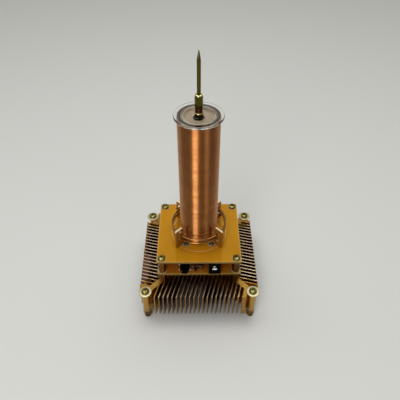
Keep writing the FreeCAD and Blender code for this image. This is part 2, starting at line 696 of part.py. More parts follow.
# Primary winding: one bare wire that starts at the rear right support and rises counter-clockwise.
# Each quarter turn of the helix is a pair of arcs that share a tangent.
def helix_point(quarters):
    angle = math.radians(45 + 90 * quarters)
    radius = level("primary_radius")
    rise = level("top_board_top") + size("primary_start") + size("primary_pitch") * quarters / 4
    return FreeCAD.Vector(radius * math.cos(angle), radius * math.sin(angle), rise)


def helix_direction(quarters):
    angle = math.radians(45 + 90 * quarters)
    circumference = 2 * math.pi * level("primary_radius")
    direction = FreeCAD.Vector(-math.sin(angle), math.cos(angle), size("primary_pitch") / circumference)
    return direction.normalize()


def arc_from(start, direction, end):
    """Arc that leaves the start along a direction and reaches the end."""
    chord = end - start
    along = FreeCAD.Vector(chord).normalize()
    half_turn = direction.getAngle(along)
    outward = (direction - along * direction.dot(along)).normalize()
    middle = (start + end) / 2 + outward * (chord.Length / 2 * math.tan(half_turn / 2))
    return Part.Arc(start, middle, end)


def arc_pair(start, start_direction, end, end_direction):
    """Two arcs with a common tangent between two points with given directions."""
    chord = end - start
    both = start_direction + end_direction
    spread = 2 * (1 - start_direction.dot(end_direction))
    root = math.sqrt(chord.dot(both) ** 2 + spread * chord.dot(chord))
    reach = (root - chord.dot(both)) / spread
    near = start + start_direction * reach
    far = end - end_direction * reach
    joint = (near + far) / 2
    joint_direction = (far - near).normalize()
    return [arc_from(start, start_direction, joint), arc_from(joint, joint_direction, end)]


def primary_path():
    quarters = int(size("primary_quarters"))
    tail = size("primary_tail")
    first = helix_point(0)
    last = helix_point(quarters)
    curves = [Part.LineSegment(first - helix_direction(0) * tail, first)]
    for index in range(quarters):
        start, end = helix_point(index), helix_point(index + 1)
        curves += arc_pair(start, helix_direction(index), end, helix_direction(index + 1))
    curves.append(Part.LineSegment(last, last + helix_direction(quarters) * tail))
    return curves


def least_gap(curves, wire):
    """Smallest clear space between neighbouring turns, measured on points along the wire."""
    points = []
    travelled = 0.0
    spacing = wire / 3
    for curve in curves:
        edge = curve.toShape()
        step_count = int(edge.Length / spacing) + 1
        for index in range(step_count):
            share = index / step_count
            parameter = edge.FirstParameter + share * (edge.LastParameter - edge.FirstParameter)
            points.append((travelled + share * edge.Length, edge.valueAt(parameter)))
        travelled += edge.Length
    smallest = None
    for index, (place, point) in enumerate(points):
        for other_place, other in points[index + 1:]:
            if other_place - place < 10 * wire:
                continue
            distance = point.distanceToPoint(other)
            if smallest is None or distance < smallest:
                smallest = distance
    return smallest - wire


primary_curves = primary_path()
primary_wire = Part.Wire([curve.toShape() for curve in primary_curves])
wire_start = primary_curves[0].StartPoint
wire_section = Part.makeCircle(size("primary_wire") / 2, wire_start, helix_direction(0))
primary_solid = primary_wire.makePipeShell([Part.Wire(wire_section)], True, False)
primary = doc.addObject("Part::Feature", "primary_winding")
primary.Shape = primary_solid
keep(primary, "primary_winding")
wire_area = math.pi * size("primary_wire") ** 2 / 4
print("primary: least gap between turns", round(least_gap(primary_curves, size("primary_wire")), 2), "mm")
wire_volume = wire_area * primary_wire.Length
print("primary: volume over section times length", round(primary.Shape.Volume / wire_volume, 4))


# Secondary: clear tube, fine close winding over it, and the discs that close its ends
def turned_ring(name, outer, inner, base, top):
    """Tube between two heights, turned about the vertical axis."""
    body = new_body(name)
    profile = new_sketch(body, name + "_profile", "XZ_Plane")
    add_outline(profile, ((inner, base), (outer, base), (outer, top), (inner, top)))
    revolve(body, profile)
    return keep(body, name)


TUBE_OUTER = "sizes.tube_diameter / 2"
TUBE_INNER = "(sizes.tube_diameter / 2 - sizes.tube_wall)"
turned_ring("secondary_tube", TUBE_OUTER, TUBE_INNER, "levels.top_board_base", "levels.tube_top")
turned_ring(
    "secondary_winding", f"{TUBE_OUTER} + sizes.winding_wall", TUBE_OUTER,
    "levels.top_board_top + sizes.winding_start", "levels.tube_top - sizes.winding_end")

# Base disc: flange under the top board, spigot up into the tube, threaded for four small screws
base_disc = new_body("tube_base_disc")
base_flange = new_sketch(base_disc, "base_flange", z="levels.top_board_base - sizes.base_disc_thickness")
add_circle(base_flange, "0", "0", "sizes.tube_diameter + 2 * sizes.base_disc_rim")
pad(base_disc, base_flange, "sizes.base_disc_thickness")
base_spigot = new_sketch(base_disc, "base_spigot", z="levels.top_board_base")
add_circle(base_spigot, "0", "0", f"2 * {TUBE_INNER} - 2 * sizes.fit")
pad(base_disc, base_spigot, "sizes.spigot_length")
base_threads = new_sketch(base_disc, "base_threads", z="levels.top_board_base")
for side_x in (-1, 1):
    for side_y in (-1, 1):
        x = f"({side_x} * levels.base_screw_x)"
        y = f"({side_y} * levels.base_screw_y)"
        add_circle(base_threads, x, y, "sizes.base_screw_diameter + 2 * sizes.fit")
pocket(base_disc, base_threads)
keep(base_disc, "tube_base_disc")

base_screws = []
for side_x in (-1, 1):
    for side_y in (-1, 1):
        x = f"({side_x} * levels.base_screw_x)"
        y = f"({side_y} * levels.base_screw_y)"
        base_screws.append(pan_screw(
            f"base_screw_{len(base_screws)}", x, y, "levels.top_board_top", "sizes.base_screw_diameter",
            "sizes.base_screw_head", "sizes.base_screw_head_height", "sizes.base_screw_length"))
keep(group("tube_base_screws", base_screws), "tube_base_screws")

# Top disc: rounded rim, spigot down into the tube, hole for the electrode's stud
top_disc = new_body("tube_top_disc")
disc_profile = new_sketch(top_disc, "disc_profile", "XZ_Plane")
STUD_HOLE = "(sizes.screw_diameter / 2 + sizes.fit)"
RIM = "(sizes.tube_diameter / 2 + sizes.top_disc_rim)"
add_outline(disc_profile, (
    (STUD_HOLE, "levels.tube_top - sizes.spigot_length"),
    (f"{TUBE_INNER} - sizes.fit", "levels.tube_top - sizes.spigot_length"),
    (f"{TUBE_INNER} - sizes.fit", "levels.tube_top"),
    (f"{RIM} - sizes.disc_edge", "levels.tube_top"),
    (RIM, "levels.tube_top + sizes.disc_edge"),
    (RIM, "levels.disc_top - sizes.disc_edge"),
    (f"{RIM} - sizes.disc_edge", "levels.disc_top"),
    (STUD_HOLE, "levels.disc_top"),
))
revolve(top_disc, disc_profile)
keep(top_disc, "tube_top_disc")


# Electrode: threaded bush with a stud down through the disc, collar, needle, and the nut and tag below
def turned(name, corners):
    """Solid of revolution about the vertical axis from an outline of formulas."""
    body = new_body(name)
    profile = new_sketch(body, name + "_profile", "XZ_Plane")
    add_outline(profile, corners)
    revolve(body, profile)
    return keep(body, name)


STUD = "sizes.screw_diameter / 2"
BUSH = "sizes.bush_diameter / 2"
NUT_BASE = "(levels.tube_top - sizes.spigot_length - sizes.tag_thickness - sizes.nut_height)"
NEEDLE = "sizes.needle_diameter / 2"
COLLAR = "sizes.collar_diameter / 2"
ROUND_EASE = "sizes.collar_round * (1 - cos(45 deg))"
turned("electrode_bush", (
    ("0", f"{NUT_BASE} - sizes.nut_stick_out"),
    (STUD, f"{NUT_BASE} - sizes.nut_stick_out"),
    (STUD, "levels.disc_top"),
    (f"{BUSH} - sizes.bush_groove", "levels.disc_top"),
    (BUSH, "levels.disc_top + sizes.bush_groove"),
    (BUSH, "levels.bush_top - 2 * sizes.bush_groove"),
    (f"{BUSH} - sizes.bush_groove", "levels.bush_top - sizes.bush_groove"),
    (f"{BUSH} - sizes.bush_groove", "levels.bush_top"),
    ("0", "levels.bush_top"),
))
turned("electrode_collar", (
    ("0", "levels.bush_top"),
    (f"{COLLAR} - sizes.bush_groove", "levels.bush_top"),
    (COLLAR, "levels.bush_top + sizes.bush_groove"),
    (COLLAR, "levels.collar_top - sizes.collar_round"),
    (f"{COLLAR} - {ROUND_EASE}", f"levels.collar_top - {ROUND_EASE}"),
    (f"{COLLAR} - sizes.collar_round", "levels.collar_top"),
    (f"{NEEDLE} + sizes.fit", "levels.collar_top"),
    (f"{NEEDLE} + sizes.fit", "levels.collar_top - sizes.needle_seat"),
    ("0", "levels.collar_top - sizes.needle_seat"),
))
CONE_BASE = "(levels.collar_top + sizes.needle_free)"
turned("electrode_needle", (
    ("0", "levels.collar_top - sizes.needle_seat"),
    (NEEDLE, "levels.collar_top - sizes.needle_seat"),
    (NEEDLE, CONE_BASE),
    ("sizes.needle_tip_radius", f"{CONE_BASE} + sizes.needle_tip_length - sizes.needle_tip_radius"),
    ("sizes.needle_tip_radius * 0.5", f"{CONE_BASE} + sizes.needle_tip_length"),
    ("0", f"{CONE_BASE} + sizes.needle_tip_length"),
))
turned("electrode_tag", (
    (STUD_HOLE, "levels.tube_top - sizes.spigot_length - sizes.tag_thickness"),
    ("sizes.tag_diameter / 2", "levels.tube_top - sizes.spigot_length - sizes.tag_thickness"),
    ("sizes.tag_diameter / 2", "levels.tube_top - sizes.spigot_length"),
    (STUD_HOLE, "levels.tube_top - sizes.spigot_length"),
))
nut = new_body("electrode_nut")
nut_hexagon = new_sketch(nut, "nut_hexagon", z=NUT_BASE)
add_hexagon(nut_hexagon, "0", "0", "sizes.hex_flats")
add_circle(nut_hexagon, "0", "0", SCREW_HOLE)
pad(nut, nut_hexagon, "sizes.nut_height")
keep(nut, "electrode_nut")


# Power transistor, flat on the core of the heat sink with its legs up through the driver board
TAB_BACK = "(sizes.transistor_screw_back + sizes.transistor_screw_edge)"
TAB_MIDDLE = f"({TAB_BACK} - sizes.tab_length / 2)"
CASE_FRONT = f"({TAB_BACK} - sizes.tab_length)"
PAD_TOP = "(levels.sink_top + sizes.pad_thickness)"

thermal_pad = new_body("thermal_pad")
pad_outline = new_sketch(thermal_pad, "pad_outline", z="levels.sink_top")
pad_width = "sizes.tab_width + 2 * sizes.pad_margin"
pad_length = "sizes.tab_length + 2 * sizes.pad_margin"
add_rectangle(pad_outline, "0", TAB_MIDDLE, pad_width, pad_length)
add_circle(pad_outline, "0", "sizes.transistor_screw_back", LOOSE_HOLE)
pad(thermal_pad, pad_outline, "sizes.pad_thickness")
keep(thermal_pad, "thermal_pad")

transistor = new_body("power_transistor")
tab_outline = new_sketch(transistor, "tab_outline", z=PAD_TOP)
add_rectangle(tab_outline, "0", TAB_MIDDLE, "sizes.tab_width", "sizes.tab_length")
add_circle(tab_outline, "0", "sizes.transistor_screw_back", LOOSE_HOLE)
pad(transistor, tab_outline, "sizes.tab_thickness")
case_outline = new_sketch(transistor, "case_outline", z=PAD_TOP)
case_middle = f"{CASE_FRONT} + sizes.case_length / 2"
add_rectangle(case_outline, "0", case_middle, "sizes.tab_width", "sizes.case_length")
pad(transistor, case_outline, "sizes.case_height")
keep(transistor, "power_transistor")

legs = []
leg_base = f"({PAD_TOP} + sizes.leg_rise)"
leg_top = "(levels.driver_top + sizes.link_stick_out)"
for index, place in enumerate(leg_places):
    leg = new_body(f"leg_{index}")
    leg_side = new_sketch(leg, f"leg_side_{index}", "YZ_Plane", z=place)
    leg_back = f"{LEG_FRONT} + sizes.leg_thickness / 2"
    leg_face = f"{LEG_FRONT} - sizes.leg_thickness / 2"
    add_outline(leg_side, (
        (CASE_FRONT, leg_base),
        (CASE_FRONT, f"{leg_base} + sizes.leg_thickness"),
        (leg_back, f"{leg_base} + sizes.leg_thickness"),
        (leg_back, leg_top),
        (leg_face, leg_top),
        (leg_face, leg_base),
    ))
    pad(leg, leg_side, "sizes.leg_width", midplane=True)
    legs.append(leg)
keep(group("transistor_legs", legs), "transistor_legs")

transistor_screw = pan_screw(
    "transistor_screw", "0", "sizes.transistor_screw_back", f"{PAD_TOP} + sizes.tab_thickness",
    "sizes.screw_diameter", "sizes.screw_head_diameter", "sizes.screw_head_height", "sizes.hole_depth")
keep(transistor_screw, "transistor_screw")


# Pins that link the boards, and their strip
link_pins = []
link_base = "levels.driver_base - sizes.link_stick_out"
link_length = f"levels.top_board_top + sizes.link_stick_out - ({link_base})"
for index, place in enumerate(link_places):
    pin = bound_box(
        f"link_pin_{index}", "sizes.link_pin", "sizes.link_pin", link_length,
        place, "sizes.link_back", link_base)
    link_pins.append(pin)
keep(group("link_pins", link_pins), "link_pins")
link_strip = new_body("link_strip")
strip_outline = new_sketch(link_strip, "strip_outline", z="levels.driver_top")
strip_length = f"sizes.link_pitch * {LINK_COUNT}"
add_rectangle(strip_outline, "0", "sizes.link_back", strip_length, "sizes.link_strip")
for place in link_places:
    add_rectangle(strip_outline, place, "sizes.link_back", LINK_SLOT, LINK_SLOT)
pad(link_strip, strip_outline, "sizes.link_strip")
keep(link_strip, "link_strip")


# Power socket: tall front plate, body with a round back, bore, centre pin and a leaf in the bore's floor
JACK_X = "sizes.jack_offset"
JACK_AXIS = "(levels.driver_top + sizes.jack_axis_height)"
jack_front = bound_box(
    "jack_front", "sizes.jack_width", "sizes.jack_front_step", "sizes.jack_height",
    JACK_X, "levels.board_front + sizes.jack_front_step / 2", "levels.driver_top")
jack_block = bound_box(
    "jack_block", "sizes.jack_width", "sizes.jack_length", "sizes.jack_axis_height",
    JACK_X, "levels.board_front + sizes.jack_length / 2", "levels.driver_top")
jack_barrel = lying_cylinder(
    "jack_barrel", "sizes.jack_width", "sizes.jack_length", JACK_X, "levels.board_front", JACK_AXIS)
jack_solid = join("jack_solid", [jack_front, jack_block, jack_barrel])
jack_bore = lying_cylinder(
    "jack_bore", "sizes.jack_bore", "sizes.jack_bore_depth + sizes.cut_margin",
    JACK_X, "levels.board_front - sizes.cut_margin", JACK_AXIS)
bore_end = "(levels.board_front + sizes.jack_bore_depth)"
root_length = "(sizes.jack_length - sizes.jack_bore_depth)"
root_hole = lying_cylinder(
    "root_hole", "sizes.jack_pin_root + 2 * sizes.fit", f"{root_length} + 2 * sizes.cut_margin",
    JACK_X, f"{bore_end} - sizes.cut_margin", JACK_AXIS)
leaf_floor = f"({JACK_AXIS} - sizes.jack_bore / 2 - sizes.leaf_sink)"
leaf_slot = bound_box(
    "leaf_slot", "sizes.leaf_width + 2 * sizes.fit", "sizes.jack_bore_depth - sizes.leaf_recess",
    "sizes.jack_bore / 2", JACK_X,
    "levels.board_front + (sizes.jack_bore_depth + sizes.leaf_recess) / 2", leaf_floor)
jack_hollow = join("jack_hollow", [jack_bore, root_hole, leaf_slot])
keep(cut("power_socket", jack_solid, jack_hollow), "power_socket")

pin_shoulder = "(levels.board_front + sizes.jack_pin_recess + sizes.jack_pin / 2)"
pin_rod = lying_cylinder(
    "pin_rod", "sizes.jack_pin", f"{bore_end} - {pin_shoulder}", JACK_X, pin_shoulder, JACK_AXIS)
pin_root = lying_cylinder("pin_root", "sizes.jack_pin_root", root_length, JACK_X, bore_end, JACK_AXIS)
pin_tip = doc.addObject("Part::Sphere", "pin_tip")
pin_tip.setExpression("Radius", "sizes.jack_pin / 2")
pin_tip.setExpression(".Placement.Base.x", JACK_X)
pin_tip.setExpression(".Placement.Base.y", pin_shoulder)
pin_tip.setExpression(".Placement.Base.z", JACK_AXIS)
keep(join("power_socket_pin", [pin_rod, pin_root, pin_tip]), "power_socket_pin")

leaf = new_body("power_socket_leaf")
leaf_side = new_sketch(leaf, "leaf_side", "YZ_Plane", z=JACK_X)
leaf_front = "(levels.board_front + sizes.leaf_recess)"
leaf_bend = f"(({leaf_front} + {bore_end}) / 2)"
leaf_top = f"{leaf_floor} + sizes.leaf_sheet"
add_outline(leaf_side, (
    (leaf_front, leaf_floor),
    (bore_end, leaf_floor),
    (bore_end, leaf_top),
    (f"{leaf_bend} + sizes.leaf_bend_run", leaf_top),
    (leaf_bend, f"{leaf_top} + sizes.leaf_hump"),
    (f"{leaf_bend} - sizes.leaf_bend_run", leaf_top),
    (leaf_front, leaf_top),
))
pad(leaf, leaf_side, "sizes.leaf_width", midplane=True)
keep(leaf, "power_socket_leaf")


# Audio socket: flat body with a round nose at the board's edge, and solder tabs along both sides
AUDIO_X = "(-sizes.audio_offset)"
AUDIO_AXIS = "(levels.driver_top + sizes.audio_height / 2)"
audio_front = "(levels.board_front + sizes.audio_nose_length)"
audio_body = bound_box(
    "audio_body", "sizes.audio_width", "sizes.audio_length", "sizes.audio_height",
    AUDIO_X, f"{audio_front} + sizes.audio_length / 2", "levels.driver_top")
audio_nose = lying_cylinder(
    "audio_nose", "sizes.audio_nose_diameter", "sizes.audio_nose_length + sizes.cut_margin",
    AUDIO_X, "levels.board_front", AUDIO_AXIS)
audio_bore = lying_cylinder(
    "audio_bore", "sizes.audio_bore", "sizes.audio_bore_depth + sizes.cut_margin",
    AUDIO_X, "levels.board_front - sizes.cut_margin", AUDIO_AXIS)
audio_solid = join("audio_solid", [audio_body, audio_nose])
keep(cut("audio_socket", audio_solid, audio_bore), "audio_socket")

tabs = []
for side_x in (-1, 1):
    for row in (0, 1):
        tab_x = f"{AUDIO_X} + {side_x} * (sizes.audio_width + sizes.tab_reach) / 2"
        tab_y = f"{audio_front} + sizes.tab_first + {row} * sizes.tab_spacing"
        tab = bound_box(
            f"audio_tab_{side_x}_{row}", "sizes.tab_reach", "sizes.tab_breadth", "sizes.tab_sheet",
            tab_x, tab_y, "levels.driver_top")
        tabs.append(tab)
keep(group("audio_socket_tabs", tabs), "audio_socket_tabs")


# Slide switch: sheet shell with a window in front, base behind, and a slider with its knob in the window
SWITCH_X = "(-sizes.switch_offset)"
switch_front = "(levels.board_front + sizes.switch_setback)"
SHELL_INSIDE = "(sizes.switch_width - 2 * sizes.switch_sheet)"
shell_block = bound_box(
    "shell_block", "sizes.switch_width", "sizes.switch_depth", "sizes.switch_height",
    SWITCH_X, f"{switch_front} + sizes.switch_depth / 2", "levels.driver_top")
shell_cavity = bound_box(
    "shell_cavity", SHELL_INSIDE, "sizes.switch_depth", "sizes.switch_height",
    SWITCH_X, f"{switch_front} + sizes.switch_sheet + sizes.switch_depth / 2",
    "levels.driver_top - sizes.switch_sheet")
KNOB_BASE = "(levels.driver_top + (sizes.switch_height - sizes.slider_height) / 2)"
shell_window = bound_box(
    "shell_window", "sizes.slider_width + sizes.switch_travel + 2 * sizes.running_gap",
    "2 * sizes.cut_margin", "sizes.slider_height + 2 * sizes.running_gap",
    SWITCH_X, switch_front, f"{KNOB_BASE} - sizes.running_gap")
shell_hollow = join("shell_hollow", [shell_cavity, shell_window])
keep(cut("switch_shell", shell_block, shell_hollow), "switch_shell")

base_depth = "(sizes.switch_depth - sizes.switch_sheet - sizes.slider_depth - 2 * sizes.running_gap)"
switch_base = bound_box(
    "switch_base", SHELL_INSIDE, base_depth, "sizes.switch_height - sizes.switch_sheet",
    SWITCH_X, f"{switch_front} + sizes.switch_depth - {base_depth} / 2", "levels.driver_top")
keep(switch_base, "switch_base")

# The slider stands at the left end of its travel
SLIDER_X = f"({SWITCH_X} - sizes.switch_travel / 2)"
slider_plate = bound_box(
    "slider_plate", f"{SHELL_INSIDE} - sizes.switch_travel - 2 * sizes.running_gap", "sizes.slider_depth",
    "sizes.switch_height - sizes.switch_sheet - 2 * sizes.running_gap", SLIDER_X,
    f"{switch_front} + sizes.switch_sheet + sizes.running_gap + sizes.slider_depth / 2",
    "levels.driver_top + sizes.running_gap")
knob_length = "(sizes.slider_reach + sizes.switch_sheet + sizes.running_gap + sizes.slider_depth / 2)"
slider_knob = bound_box(
    "slider_knob", "sizes.slider_width", knob_length, "sizes.slider_height", SLIDER_X,
    f"{switch_front} - sizes.slider_reach + {knob_length} / 2", KNOB_BASE)
keep(join("switch_slider", [slider_plate, slider_knob]), "switch_slider")


# Small parts on the driver board
chip = new_body("driver_chip")
chip_outline = new_sketch(chip, "chip_outline", z="levels.driver_top")
add_rectangle(chip_outline, "sizes.chip_right", "sizes.chip_back", "sizes.chip_width", "sizes.chip_length")
pad(chip, chip_outline, "sizes.chip_height")
keep(chip, "driver_chip")
chip_legs = []
for side_x in (-1, 1):
    for row in range(4):
        leg_x = f"sizes.chip_right + {side_x} * (sizes.chip_width + sizes.chip_leg) / 2"
        leg_y = f"sizes.chip_back + {row - 1.5} * sizes.chip_pitch"
        chip_legs.append(bound_box(
            f"chip_leg_{side_x}_{row}", "sizes.chip_leg", "sizes.chip_leg_width", "sizes.chip_leg_width / 2",
            leg_x, leg_y, "levels.driver_top"))
keep(group("driver_chip_legs", chip_legs), "driver_chip_legs")

capacitor = new_body("bulk_capacitor")
can_profile = new_sketch(
    capacitor, "can_profile", "XZ_Plane", "-sizes.can_left", "levels.driver_top", "-sizes.can_back")
CAN = "sizes.can_diameter / 2"
add_outline(can_profile, (
    ("0", "0"),
    (CAN, "0"),
    (CAN, "sizes.can_bead - sizes.can_bead_depth"),
    (f"{CAN} - sizes.can_bead_depth", "sizes.can_bead"),
    (CAN, "sizes.can_bead + sizes.can_bead_depth"),
    (CAN, "sizes.can_height - sizes.can_edge"),
    (f"{CAN} - sizes.can_edge", "sizes.can_height"),
    ("0", "sizes.can_height"),
))
revolve(capacitor, can_profile)
keep(capacitor, "bulk_capacitor")

film = new_body("film_capacitor")
film_outline = new_sketch(film, "film_outline", z="levels.driver_top")
add_rectangle(film_outline, "sizes.film_right", "sizes.film_back", "sizes.film_width", "sizes.film_length")
pad(film, film_outline, "sizes.film_height")
keep(film, "film_capacitor")

chip_parts = []
for column in range(3):
    for row in range(3):
        part_x = f"-sizes.chip_right + {column - 1} * sizes.small_spacing"
        part_y = f"sizes.chip_back + {row - 1} * sizes.small_spacing"
        chip_parts.append(bound_box(
            f"chip_part_{column}_{row}", "sizes.small_length", "sizes.small_width", "sizes.small_height",
            part_x, part_y, "levels.driver_top"))
keep(group("chip_parts", chip_parts), "chip_parts")


# Check every object and piece, then write each piece under its name
doc.recompute()
for item in doc.Objects:
    if "Invalid" in item.State or "Error" in item.State:
        raise RuntimeError(f"{item.Name} failed: {item.State}")
os.makedirs("parts", exist_ok=True)
for piece in nodes:
    if piece.Shape.isNull() or not piece.Shape.isValid():
        raise RuntimeError(f"{piece.Label} has no valid shape")
    piece.Shape.exportStep(f"parts/{piece.Label}.step")
print(len(nodes), "pieces written")
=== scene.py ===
import math

import bmesh
import bpy
import numpy as np
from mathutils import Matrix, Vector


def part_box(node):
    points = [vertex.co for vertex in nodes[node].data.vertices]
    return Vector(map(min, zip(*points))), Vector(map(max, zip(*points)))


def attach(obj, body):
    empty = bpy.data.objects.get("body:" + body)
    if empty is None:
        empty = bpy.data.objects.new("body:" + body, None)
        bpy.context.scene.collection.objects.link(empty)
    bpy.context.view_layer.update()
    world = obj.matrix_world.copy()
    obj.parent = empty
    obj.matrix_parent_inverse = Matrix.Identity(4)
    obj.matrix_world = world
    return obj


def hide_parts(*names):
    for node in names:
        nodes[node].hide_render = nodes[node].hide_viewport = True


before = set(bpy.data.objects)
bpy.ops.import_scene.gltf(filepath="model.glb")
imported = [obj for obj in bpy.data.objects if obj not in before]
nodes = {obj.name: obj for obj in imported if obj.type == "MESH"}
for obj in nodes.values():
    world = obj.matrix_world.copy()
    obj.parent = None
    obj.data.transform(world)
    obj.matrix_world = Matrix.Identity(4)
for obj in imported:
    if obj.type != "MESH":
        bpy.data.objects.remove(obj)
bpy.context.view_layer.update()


# Heat sink
# An aluminium extrusion sawn to length and anodised gold: a round core, four diagonal arms with
# a corner post each, and rows of thin slanted fins that follow one another like a pinwheel.

MM = 0.001


def box_of(node):
    """Lowest and highest corner of a CAD node in millimetres."""
    return [np.array(corner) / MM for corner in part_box(node)]


def reach_of(node):
    """Outer reach of a CAD node along X in millimetres: a radius, where the node is round."""
    return box_of(node)[1][0]


def colour(red, green, blue):
    """Linear colour, with full alpha, of a colour given as three screen values from 0 to 255."""
    share = np.array([red, green, blue]) / 255
    linear = np.where(share <= 0.04045, share / 12.92, ((share + 0.055) / 1.055) ** 2.4)
    return (*linear, 1.0)


def shade(mesh, sharp_angle=35):
    """Shade a mesh smooth, with its edges sharp past an angle in degrees."""
    mesh.shade_smooth()
    mesh.set_sharp_from_angle(angle=math.radians(sharp_angle))


def cover(mesh, material):
    """Give a mesh one material."""
    mesh.materials.clear()
    mesh.materials.append(material)


def add_object(name, data):
    """New object in the scene."""
    item = bpy.data.objects.new(name, data)
    bpy.context.scene.collection.objects.link(item)
    return item


def place(name, mesh, material, slot, *replaced, body="frame"):
    """Object for a finished mesh: it takes a material, rides on a body and stands for CAD nodes."""
    piece = add_object(name, mesh)
    cover(mesh, material)
    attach(piece, body)
    if replaced:
        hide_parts(*replaced)
    return piece


def eased_copy(node, name, width, material, slot, body="frame", segments=2):
    """Copy of a CAD node whose edges are rounded over a width in millimetres; it replaces the node."""
    mesh = nodes[node].data.copy()
    mesh.name = name
    work = bmesh.new()
    work.from_mesh(mesh)
    bmesh.ops.remove_doubles(work, verts=work.verts, dist=0.002 * MM)
    flat = math.radians(0.5)
    bmesh.ops.dissolve_limit(work, angle_limit=flat, verts=work.verts, edges=work.edges)
    work.to_mesh(mesh)
    work.free()
    shade(mesh)
    piece = place(name, mesh, material, slot, node, body=body)
    bevel = piece.modifiers.new("eased_edges", "BEVEL")
    bevel.width = width * MM
    bevel.segments = segments
    bevel.limit_method = "ANGLE"
    bevel.angle_limit = math.radians(40)
    bevel.harden_normals = True
    bevel.use_clamp_overlap = True
    return piece


def new_group(name, inputs, outputs):
    """Shader node group with the sockets that come in and those that go out, from the name, type and
    default of each input and the name and type of each output."""
    group = bpy.data.node_groups.new(name, "ShaderNodeTree")
    for label, kind, default in inputs:
        socket = group.interface.new_socket(label, in_out="INPUT", socket_type="NodeSocket" + kind)
        socket.default_value = default
    for label, kind in outputs:
        group.interface.new_socket(label, in_out="OUTPUT", socket_type="NodeSocket" + kind)
    return group, group.nodes.new("NodeGroupInput").outputs, group.nodes.new("NodeGroupOutput").inputs


def add_node(tree, kind, settings=None, inputs=None):
    """New node with its settings, and its inputs: each is a value or the socket that feeds it."""
    node = tree.nodes.new("ShaderNode" + kind)
    for key, value in (settings or {}).items():
        setattr(node, key, value)
    for key, value in (inputs or {}).items():
        if isinstance(value, bpy.types.NodeSocket):
            tree.links.new(value, node.inputs[key])
        else:
            node.inputs[key].default_value = value
    return node


def maths(tree, operation, first, second=0.0):
    """Result of one operation on two numbers."""
    return add_node(tree, "Math", {"operation": operation}, {0: first, 1: second}).outputs[0]


def vector_maths(tree, operation, first, second=(0.0, 0.0, 0.0)):
    """Result of one operation on two vectors."""
    return add_node(tree, "VectorMath", {"operation": operation}, {0: first, 1: second}).outputs[0]


def blend(tree, share, first, second):
    """Colour that goes from the first to the second as the share goes from 0 to 1."""
    inputs = {"Factor": share, 6: first, 7: second}
    return add_node(tree, "Mix", {"data_type": "RGBA"}, inputs).outputs[2]


def spread(tree, value, low, high, to_low=0.0, to_high=1.0, curve="LINEAR"):
    """Value carried from the range low to high, which may run downwards, to another range, and held at
    that range's ends."""
    return add_node(tree, "MapRange", {"interpolation_type": curve}, {
        "Value": value, "From Min": low, "From Max": high,
        "To Min": to_low, "To Max": to_high}).outputs[0]


def object_place(tree):
    """Object coordinates in metres."""
    return add_node(tree, "TexCoord").outputs["Object"]


def sides_of(tree):
    """Distances from the middle along X and along Y, and the larger of the two, in metres."""
    away = vector_maths(tree, "ABSOLUTE", object_place(tree))
    along = add_node(tree, "SeparateXYZ", None, {0: away}).outputs
    return along["X"], along["Y"], maths(tree, "MAXIMUM", along["X"], along["Y"])


def facing_up(tree):
    """Height of the unit normal: one on a face that looks up, zero on an upright face."""
    normal = add_node(tree, "NewGeometry").outputs["Normal"]
    return add_node(tree, "SeparateXYZ", None, {0: normal}).outputs["Z"]


def in_millimetres(tree):
    """Object coordinates in millimetres."""
    return vector_maths(tree, "MULTIPLY", object_place(tree), (1 / MM, 1 / MM, 1 / MM))


def grain_group():
    """Fine grain: noise on object coordinates in millimetres, stretched by a vector and spread between
    two values; Streak is the same noise at a twentieth of the scale, for slow changes."""
    group, start, end = new_group(
        "fine_grain",
        (("Stretch", "Vector", (1.0, 1.0, 1.0)), ("Low", "Float", 0.3), ("High", "Float", 0.5)),
        (("Value", "Float"), ("Streak", "Float")))
    stretched = vector_maths(group, "MULTIPLY", in_millimetres(group), start["Stretch"])
    fine = add_node(group, "TexNoise", None, {
        "Vector": stretched, "Scale": 1.0, "Detail": 4.0, "Roughness": 0.6})
    slow = add_node(group, "TexNoise", None, {
        "Vector": stretched, "Scale": 0.05, "Detail": 3.0, "Roughness": 0.5})
    value = spread(group, fine.outputs[0], 0.3, 0.7, start["Low"], start["High"])
    group.links.new(value, end["Value"])
    group.links.new(slow.outputs[0], end["Streak"])
    return group


fine_grain = grain_group()


def grain_of(tree, stretch, low, high):
    """Fine grain placed in a material: its value, from low to high, and its slow streak."""
    grain = add_node(tree, "Group", {"node_tree": fine_grain},
                     {"Stretch": stretch, "Low": low, "High": high})
    return grain.outputs["Value"], grain.outputs["Streak"]


def new_material(name, **sockets):
    """Material with one Principled BSDF; names of sockets are written with underscores."""
    material = bpy.data.materials.new(name)
    material.use_nodes = True
    shader = material.node_tree.nodes["Principled BSDF"]
    for key, value in sockets.items():
        shader.inputs[key.replace("_", " ")].default_value = value
    return material, material.node_tree, shader


def feed(tree, shader, tone, grain, bump=0.0):
    """Feed a shader its colour, and its roughness from the grain, which may be a low relief too."""
    tree.links.new(tone, shader.inputs["Base Color"])
    tree.links.new(grain, shader.inputs["Roughness"])
    if bump:
        relief = add_node(tree, "Bump", None, {"Height": grain, "Strength": bump, "Distance": 0.1 * MM})
        tree.links.new(relief.outputs[0], shader.inputs["Normal"])


def metal(name, light, dark, roughness, stretch=(2.0, 2.0, 2.0), bump=0.02):
    """Metal with a directional grain: the grain moves the roughness and a bump, and its slow streaks
    move the colour between two tones, given as screen values."""
    material, tree, shader = new_material(name, Metallic=1.0)
    grain, streak = grain_of(tree, stretch, roughness * 0.8, roughness * 1.25)
    tone = blend(tree, spread(tree, streak, 0.35, 0.65), colour(*dark), colour(*light))
    feed(tree, shader, tone, grain, bump)
    return material


def base_of(material):
    """Node tree of a material, its shader's colour socket and what already feeds that socket."""
    socket = material.node_tree.nodes["Principled BSDF"].inputs["Base Color"]
    return material.node_tree, socket, socket.links[0].from_socket


